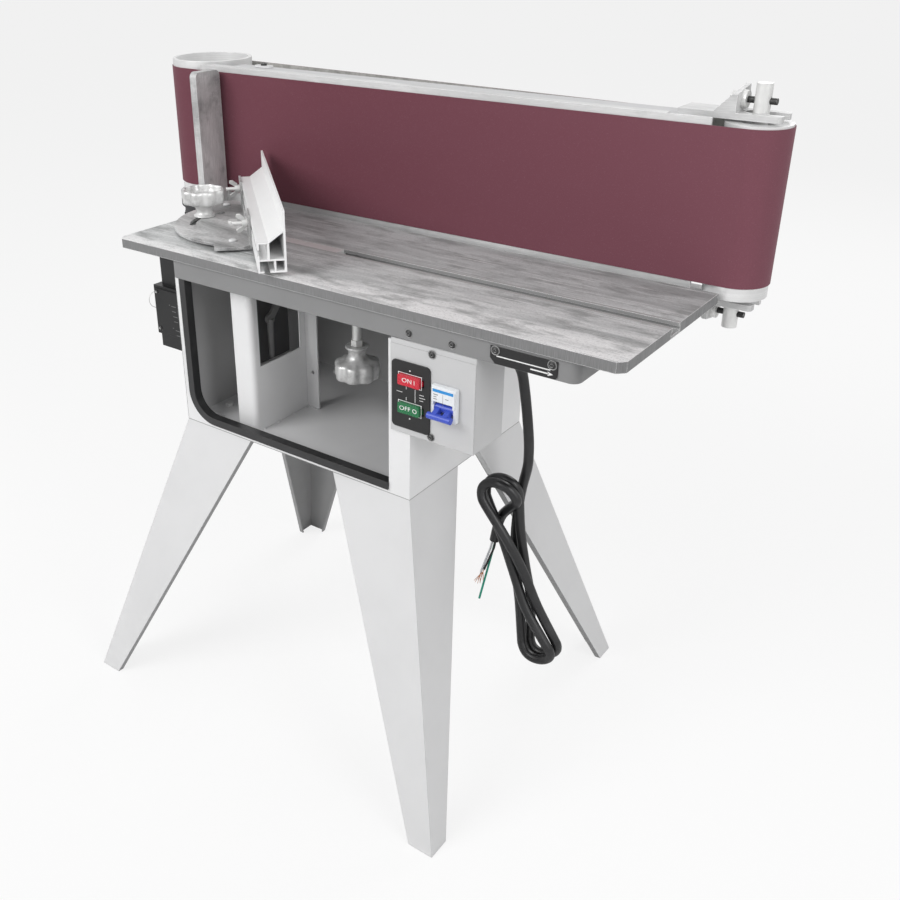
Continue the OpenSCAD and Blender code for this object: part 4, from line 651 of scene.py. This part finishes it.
CORD_D = 15.0
CORD_ROUTE = [
    (738, -216, 655), (738, -180, 655), (740, -150, 652), (744, -125, 640), (748, -110, 618), (751, -104, 590),
    (755, -102, 560), (759, -102, 533), (762, -102, 508), (763, -102, 486), (762, -102, 465),
]
HANK_MID = Vector((774, -124, 306))
HANK_LOOPS, HANK_R, HANK_RUN, HANK_PITCH = 2.0, 34.0, 228.0, CORD_D + 2.5
HANK_LEAN, HANK_TWIST, HANK_WAIST, LOOP_RINGS = 19.0, 180.0, 0.30, 24
CORD_TAIL = [(749, -122, 404), (731, -114, 380), (722, -110, 354), (719, -112, 330)]

# The bare conductors: name, sheath, reach and droop in mm, then their strands of copper
CONDUCTORS = (("green_conductor", WIRE_GREEN, 80, 30), ("cut_conductor", BLACK, 40, 12),
              ("pale_conductor", CREAM, 44, 16))
CONDUCTOR_D, STRAND_D, STRANDS, STRAND_RUN = 3.4, 0.9, 7, 13


def oval(k):
    """One loop of the hank: a run down, a half turn, a run up and a half turn."""
    run, bend = 4, 8
    i = k % LOOP_RINGS
    if i < run:
        return 0, -HANK_RUN * i / run
    if i < run + bend:
        a = math.pi * (i - run) / bend
        return HANK_R * (math.cos(a) - 1), -HANK_RUN - HANK_R * math.sin(a)
    if i < 2 * run + bend:
        return -2 * HANK_R, -HANK_RUN * (1 - (i - run - bend) / run)
    a = math.pi * (i - 2 * run - bend) / bend
    return -HANK_R * (1 + math.cos(a)), HANK_R * math.sin(a)


def hank_point(k):
    """A point of the loops: side by side, drawn in to a waist, twisted about the long axis and leaned."""
    u, v = oval(k)
    along, beside = v + HANK_RUN / 2, HANK_PITCH * (HANK_LOOPS / 2 - k / LOOP_RINGS)
    half = HANK_RUN / 2 + HANK_R
    across = (u + HANK_R) * (HANK_WAIST + (1 - HANK_WAIST) * (along / half) ** 2)
    turn = math.radians(HANK_TWIST) * (half - along) / (2 * half)
    lean = math.radians(HANK_LEAN)
    x = across * math.cos(turn) - beside * math.sin(turn)
    y = across * math.sin(turn) + beside * math.cos(turn)
    return HANK_MID + Vector((x * math.cos(lean) - along * math.sin(lean), y,
                              x * math.sin(lean) + along * math.cos(lean)))


def cord_points():
    hank = [hank_point(k) for k in range(round(HANK_LOOPS * LOOP_RINGS) + 1)]
    return [at(*p) for p in CORD_ROUTE + hank + CORD_TAIL]


def make_cord():
    path = smooth_path(cord_points(), 4)
    cord = wire("supply_cord", path, CORD_D * MM, CORD, "base", 5)
    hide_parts("power_cord", "cord_hank")
    ends = make_wires(path[-1], (path[-1] - path[-2]).normalized())


def make_wires(end, along):
    """The bare end: a green conductor, a cut one and a spray of copper strands."""
    back = Vector((0, 1, 0))
    side = along.cross(back).normalized()
    made = []
    for k, (name, material, reach, droop) in enumerate(CONDUCTORS):
        a = 2 * math.pi * k / len(CONDUCTORS)
        start = end + (back * math.cos(a) + side * math.sin(a)) * 3 * MM
        middle = start + along * 0.6 * reach * MM + Vector((-3, -2, -0.3 * droop)) * MM
        tip = start + along * reach * MM + Vector((-8, -5, -droop)) * MM
        path = smooth_path([start, start + along * 12 * MM, middle, tip], 6)
        made.append(wire(name, path, CONDUCTOR_D * MM, material, "base"))
        tip, way = path[-1], (path[-1] - path[-2]).normalized()
        if k == 0:
            continue
        for j in range(STRANDS):
            b = 2 * math.pi * j / STRANDS
            spread = way + (side * math.cos(b) + back * math.sin(b)) * 0.45
            strand = [tip, tip + way * 4 * MM, tip + way * 6 * MM + spread.normalized() * STRAND_RUN * MM]
            made.append(wire(f"{name}_strand_{j}", smooth_path(strand, 4), STRAND_D * MM, COPPER, "base", 1))
    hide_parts("cord_wires")
    return made


make_cord()


# Marks on the controls

ACROSS, BACK, UP = Vector((1, 0, 0)), Vector((0, 1, 0)), Vector((0, 0, 1))


def front_marks(name, node, outlines, material, body, proud=0.15, depth=0.1):
    """Thin printed marks in front of a node's face, in mm from its lower left corner."""
    low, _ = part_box(node)
    bm = bmesh.new()
    place = Vector((low.x, low.y - proud * MM, low.z))
    add_plates(bm, outlines, place, ACROSS, UP, depth)
    piece = add_mesh(name, bm, material, body)
    return piece


def frame_outline(u, v, w, h, t):
    """Four strips round a rectangle."""
    return [rectangle(u - t, v - t, w + 2 * t, t), rectangle(u - t, v + h, w + 2 * t, t),
            rectangle(u - t, v, t, h), rectangle(u + w, v, t, h)]


def key_lettering(name, node, text, body):
    """Letters that lie in the dished face of a key."""
    curve = bpy.data.curves.new(name + "_font", "FONT")
    curve.body = text
    curve.size = 8.6 * MM
    curve.align_x, curve.align_y = "CENTER", "CENTER"
    curve.resolution_u = 3
    holder = bpy.data.objects.new(name + "_font", curve)
    bpy.context.scene.collection.objects.link(holder)
    bpy.context.view_layer.update()
    flat = bpy.data.meshes.new_from_object(holder.evaluated_get(bpy.context.evaluated_depsgraph_get()))
    bpy.data.objects.remove(holder)
    low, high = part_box(node)
    centre = (low + high) / 2
    mid_x = low.x + KEY_W / 2 * MM
    radius, sunk = 59 * MM, 58 * MM
    bm = bmesh.new()
    bm.from_mesh(flat)
    bmesh.ops.subdivide_edges(bm, edges=bm.edges, cuts=2, use_grid_fill=False)
    for v in bm.verts:
        x, z = v.co.x * 1.15, v.co.y
        dish = low.y - sunk + math.sqrt(radius ** 2 - x * x - z * z)
        v.co = Vector((mid_x + x, max(low.y, dish) - 0.12 * MM, centre.z + z))
    piece = add_mesh(name, bm, PRINT, body)


def make_switch_marks():
    switch_low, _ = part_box("switch_plate")
    marks = []
    for node in ("on_key", "off_key"):
        low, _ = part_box(node)
        u = (low.x - switch_low.x) / MM
        v = (low.z - switch_low.z) / MM
        marks += frame_outline(u - 0.6, v - 0.6, KEY_W + 1.2, KEY_H + 1.2, 1.1)
    # Line from key to key, pilot dots and a small symbol by each key
    marks += [rectangle(37, 41, 0.8, 19), rectangle(23, 57, 0.8, 5), rectangle(23, 41, 0.8, 5)]
    marks += [disc(29, 84, 1.1), disc(29, 16, 1.1)]
    marks += [rectangle(8, 51, 9, 0.8)]
    marks += [rectangle(44, v, w, 0.8) for v, w in ((54, 7), (50, 9), (46, 6))]
    front_marks("switch_marks", "switch_plate", marks, PRINT, "base")
    key_lettering("on_letters", "on_key", "ON I", "on_key")
    key_lettering("off_letters", "off_key", "OFF O", "off_key")


def make_breaker_marks():
    """A blue stripe, short plain lines in place of print, and the seam between the two poles."""
    stripe, seam = [rectangle(3, 38.5, 31, 4)], [rectangle(18.3, 20.5, 0.4, 17)]
    lines = [rectangle(4, 34.5, 7, 1), rectangle(4, 31.5, 5, 0.8), rectangle(4, 28.5, 6, 0.8),
             rectangle(22, 31.5, 5, 0.8)]
    front_marks("breaker_stripe", "breaker_body", stripe, BLUE_PRINT, "base")
    front_marks("breaker_marks", "breaker_body", lines, GREY_PRINT, "base")
    front_marks("breaker_seam", "breaker_body", seam, GREY_PRINT, "base")


def make_arrow_marks():
    white = [rectangle(9, 9.6, 72, 1.5), rectangle(55, 4.4, 24, 1.8), [(78, 2.6), (85, 5.3), (78, 8.0)]]
    front_marks("arrow_marks", "arrow_plate", white, PRINT, "base")


def make_screw_rings():
    """Rings of bare metal round the button heads of the cover, the rail and the arrow plate."""
    profile = [(5.0, 0.0), (6.1, 0.0), (6.2, 0.2), (6.0, 0.5), (5.2, 0.6), (5.0, 0.0)]
    arrow_left, arrow_front, arrow_z = CONTROL_LEFT + 148, RAIL_FRONT - 1.5, CABINET_TOP + 18
    places = [(CONTROL_LEFT + 64.5, CONTROL_FRONT, CABINET_TOP - drop) for drop in (10, 126)]
    places += [(CONTROL_LEFT + x, RAIL_FRONT, CABINET_TOP + 10) for x in (28, 93)]
    places += [(arrow_left + x, arrow_front, arrow_z) for x in (7, 83)]
    bm = bmesh.new()
    for place in places:
        lathe(bm, at(*place), (0, -1, 0), profile)
    ring = add_mesh("screw_washers", bm, WASHER, "base", smooth=True)


# Cast star knobs: radius, height from the foot and depth of the valleys, for a knob of 68 mm by 44 mm
KNOB_R, KNOB_HIGH, KNOB_LOBES = 34.0, 44.0, 8
KNOB_PROFILE = [
    (4.2, 0.0, 0), (16.0, 0.0, 0), (17.0, 0.6, 0), (17.2, 2.4, 0), (16.6, 3.2, 0), (14.0, 4.2, 0),
    (12.8, 8.0, 0), (13.2, 12.5, 0), (15.5, 16.5, 0.2), (20.5, 19.6, 0.8), (27.5, 21.2, 1.8),
    (32.2, 22.6, 3.0), (33.8, 25.0, 3.6), (34.0, 30.0, 3.8), (34.0, 39.0, 3.8), (33.4, 42.4, 3.6),
    (32.2, 43.8, 3.4), (31.0, 44.0, 3.3), (30.0, 43.4, 3.2), (29.4, 41.0, 3.0), (28.8, 35.5, 2.6),
    (27.4, 33.2, 2.0), (24.0, 32.2, 1.0), (15.0, 31.6, 0), (12.4, 32.4, 0), (11.6, 35.2, 0),
    (10.2, 36.8, 0), (0.4, 37.0, 0),
]


def cast_knob(name, node, foot, up, radius, height, bore):
    profile = [(r * radius / KNOB_R, h * height / KNOB_HIGH, d * radius / KNOB_R) for r, h, d in KNOB_PROFILE]
    profile[0] = (bore, 0.0, 0)
    bm = bmesh.new()
    rings = lathe(bm, foot, (0, 0, up), profile, 128, KNOB_LOBES)
    bm.faces.new(rings[-1])
    # Wall of the bore, as far as the stud reaches
    inner = lathe(bm, foot, (0, 0, up), [(bore, 0.0), (bore, 0.8 * height)], 128)
    bm.faces.new(inner[1])
    bmesh.ops.remove_doubles(bm, verts=rings[0] + inner[0], dist=1e-6)
    knob = add_mesh(name, bm, KNOB, node, smooth=True)
    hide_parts(node)


def make_knobs():
    cast_knob("miter_star_knob", "miter_knob", at(177, SLOT_Y, MITER_TOP + 0.3), 1, KNOB_R, KNOB_HIGH, 4.1)
    low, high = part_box("table_knob")
    centre = (low + high) / 2
    cast_knob("table_star_knob", "table_knob", Vector((centre.x, centre.y, high.z)), -1, 36, 51.7, 5.1)


def make_strain_relief():
    """A tapered, ribbed sleeve where the cord leaves the gland."""
    bm = bmesh.new()
    profile = [(7.6, 0.0), (11.2, 0.0), (11.4, 1.0)]
    for k in range(7):
        h, r = 3.0 + 5.0 * k, 11.0 - 0.38 * k
        profile += [(r, h), (r, h + 2.6), (r - 1.1, h + 3.2), (r - 1.2, h + 4.6)]
    profile += [(8.4, 38.5), (8.2, 40.0), (7.6, 40.2)]
    x, y, z = CORD_ROUTE[0]
    lathe(bm, at(x, y + 10, z), (0, 1, 0), profile, 40)
    sleeve = add_mesh("strain_relief", bm, CORD, "base", smooth=True)


def button_head(bm, place, axis, r):
    """A low domed screw head with a socket."""
    dome = [(1.0, 0.2), (0.86, 0.42), (0.55, 0.56), (0.42, 0.58), (0.40, 0.2), (0.05, 0.2)]
    profile = [(0.3, -0.4), (r, -0.4)] + [(share * r, height * r) for share, height in dome]
    lathe(bm, place, axis, profile, 20)


def make_terminal_details():
    """Rating lines, cover screws and a tie wire on the terminal box."""
    front, left, right, low, high = 17.6, -154, -90, 437, 514
    bm = bmesh.new()
    lines = [rectangle(46 + 1.5 * k, 61 - 10.6 * k - (8 if k > 3 else 0), 13 - (k % 2) * 3, 1.3)
             for k in range(6)]
    lines += [disc(41, 63, 1.2, 8), disc(46, 15, 1.2, 8), disc(12, 3, 1.0, 8)]
    add_plates(bm, lines, at(left - 7, front - 0.15, low - 7), ACROSS, UP, 0.2)
    add_mesh("terminal_lines", bm, GREY_PRINT, "head")
    bm = bmesh.new()
    for x, z in ((left, high), (left, low), (right, high), (right, low)):
        button_head(bm, at(x, front, z), (0, -1, 0), 4.0)
    add_mesh("terminal_screws", bm, BLACK_STEEL, "head", smooth=True)
    ties = ((-158, 17, 516), (-162, 8, 510), (-163.5, 4, 498), (-163, 8, 486), (-160, 16.5, 480))
    loop = smooth_path([at(*p) for p in ties], 6)
    wire("terminal_tie_wire", loop, 1.3 * MM, ZINC, "head", 2)


def make_column_welds():
    """Weld beads along the column's foot, painted over, and a few spatters on the floor."""
    rng = random.Random(7)
    column_side, column_back, bead_z, floor_z = 377.0, -141.5, 472.6, 472.0
    bm = bmesh.new()
    beads = [(column_side, -252 + 9.5 * k + rng.uniform(-2, 2), bead_z) for k in (0, 1, 4, 5, 8, 11, 12)]
    beads += [(column_side + 3 + 6 * k, column_back, bead_z) for k in range(4)]
    spatters = [(rng.uniform(384, 470), rng.uniform(-250, -150), floor_z) for _ in range(9)]
    for n, place in enumerate(beads + spatters):
        size = rng.uniform(1.8, 3.0) if n < len(beads) else rng.uniform(0.5, 1.1)
        made = bmesh.ops.create_icosphere(bm, subdivisions=2, radius=size * MM)
        for v in made["verts"]:
            v.co = at(*place) + Vector((v.co.x, v.co.y * rng.uniform(1.2, 1.3), v.co.z * 0.7))
    add_mesh("column_welds", bm, WHITE, "base", smooth=True)


def make_beam_bracket():
    """The small angle bracket with its bolt on top of the head beam, behind the belt's upper edge."""
    left, front, top, length, width, bolt_r = 125, 42, 964.3, 34, 16, 5.5
    bm = bmesh.new()
    add_plates(bm, [rounded(0, 0, length, width, 6)], at(left, front, top), ACROSS, BACK, 3)
    add_mesh("beam_bracket", bm, WHITE, "head")
    bm = bmesh.new()
    hexagon = disc(length / 2, width / 2, bolt_r, 6)
    add_plates(bm, [hexagon], at(left, front, top + 3.9), ACROSS, BACK, 4)
    add_mesh("beam_bracket_bolt", bm, BLACK_STEEL, "head")


def make_rivet_heads():
    """Domed heads of the two rivets that join the miter plate to its bracket."""
    turn = math.radians(MITER_TURN)
    along, back = Vector((-math.sin(turn), math.cos(turn), 0)), Vector((-math.cos(turn), -math.sin(turn), 0))
    reach, behind = 106, 5
    profile = [(6.0, 0.1), (6.0, 2.2), (5.3, 3.2), (3.2, 3.9), (1.0, 4.1)]
    bm = bmesh.new()
    for side in (-1, 1):
        x, y, _ = Vector((*MITER_PIVOT, 0)) + reach * side * along + behind * back
        rings = lathe(bm, at(x, y, MITER_TOP), UP, profile, 24)
        bm.faces.new(rings[0][::-1])
        bm.faces.new(rings[-1])
    add_mesh("rivet_heads", bm, WHITE, "miter_head", smooth=True)


make_switch_marks()
make_breaker_marks()
make_arrow_marks()
make_screw_rings()
make_terminal_details()
make_column_welds()
make_beam_bracket()
make_rivet_heads()
make_knobs()
make_strain_relief()
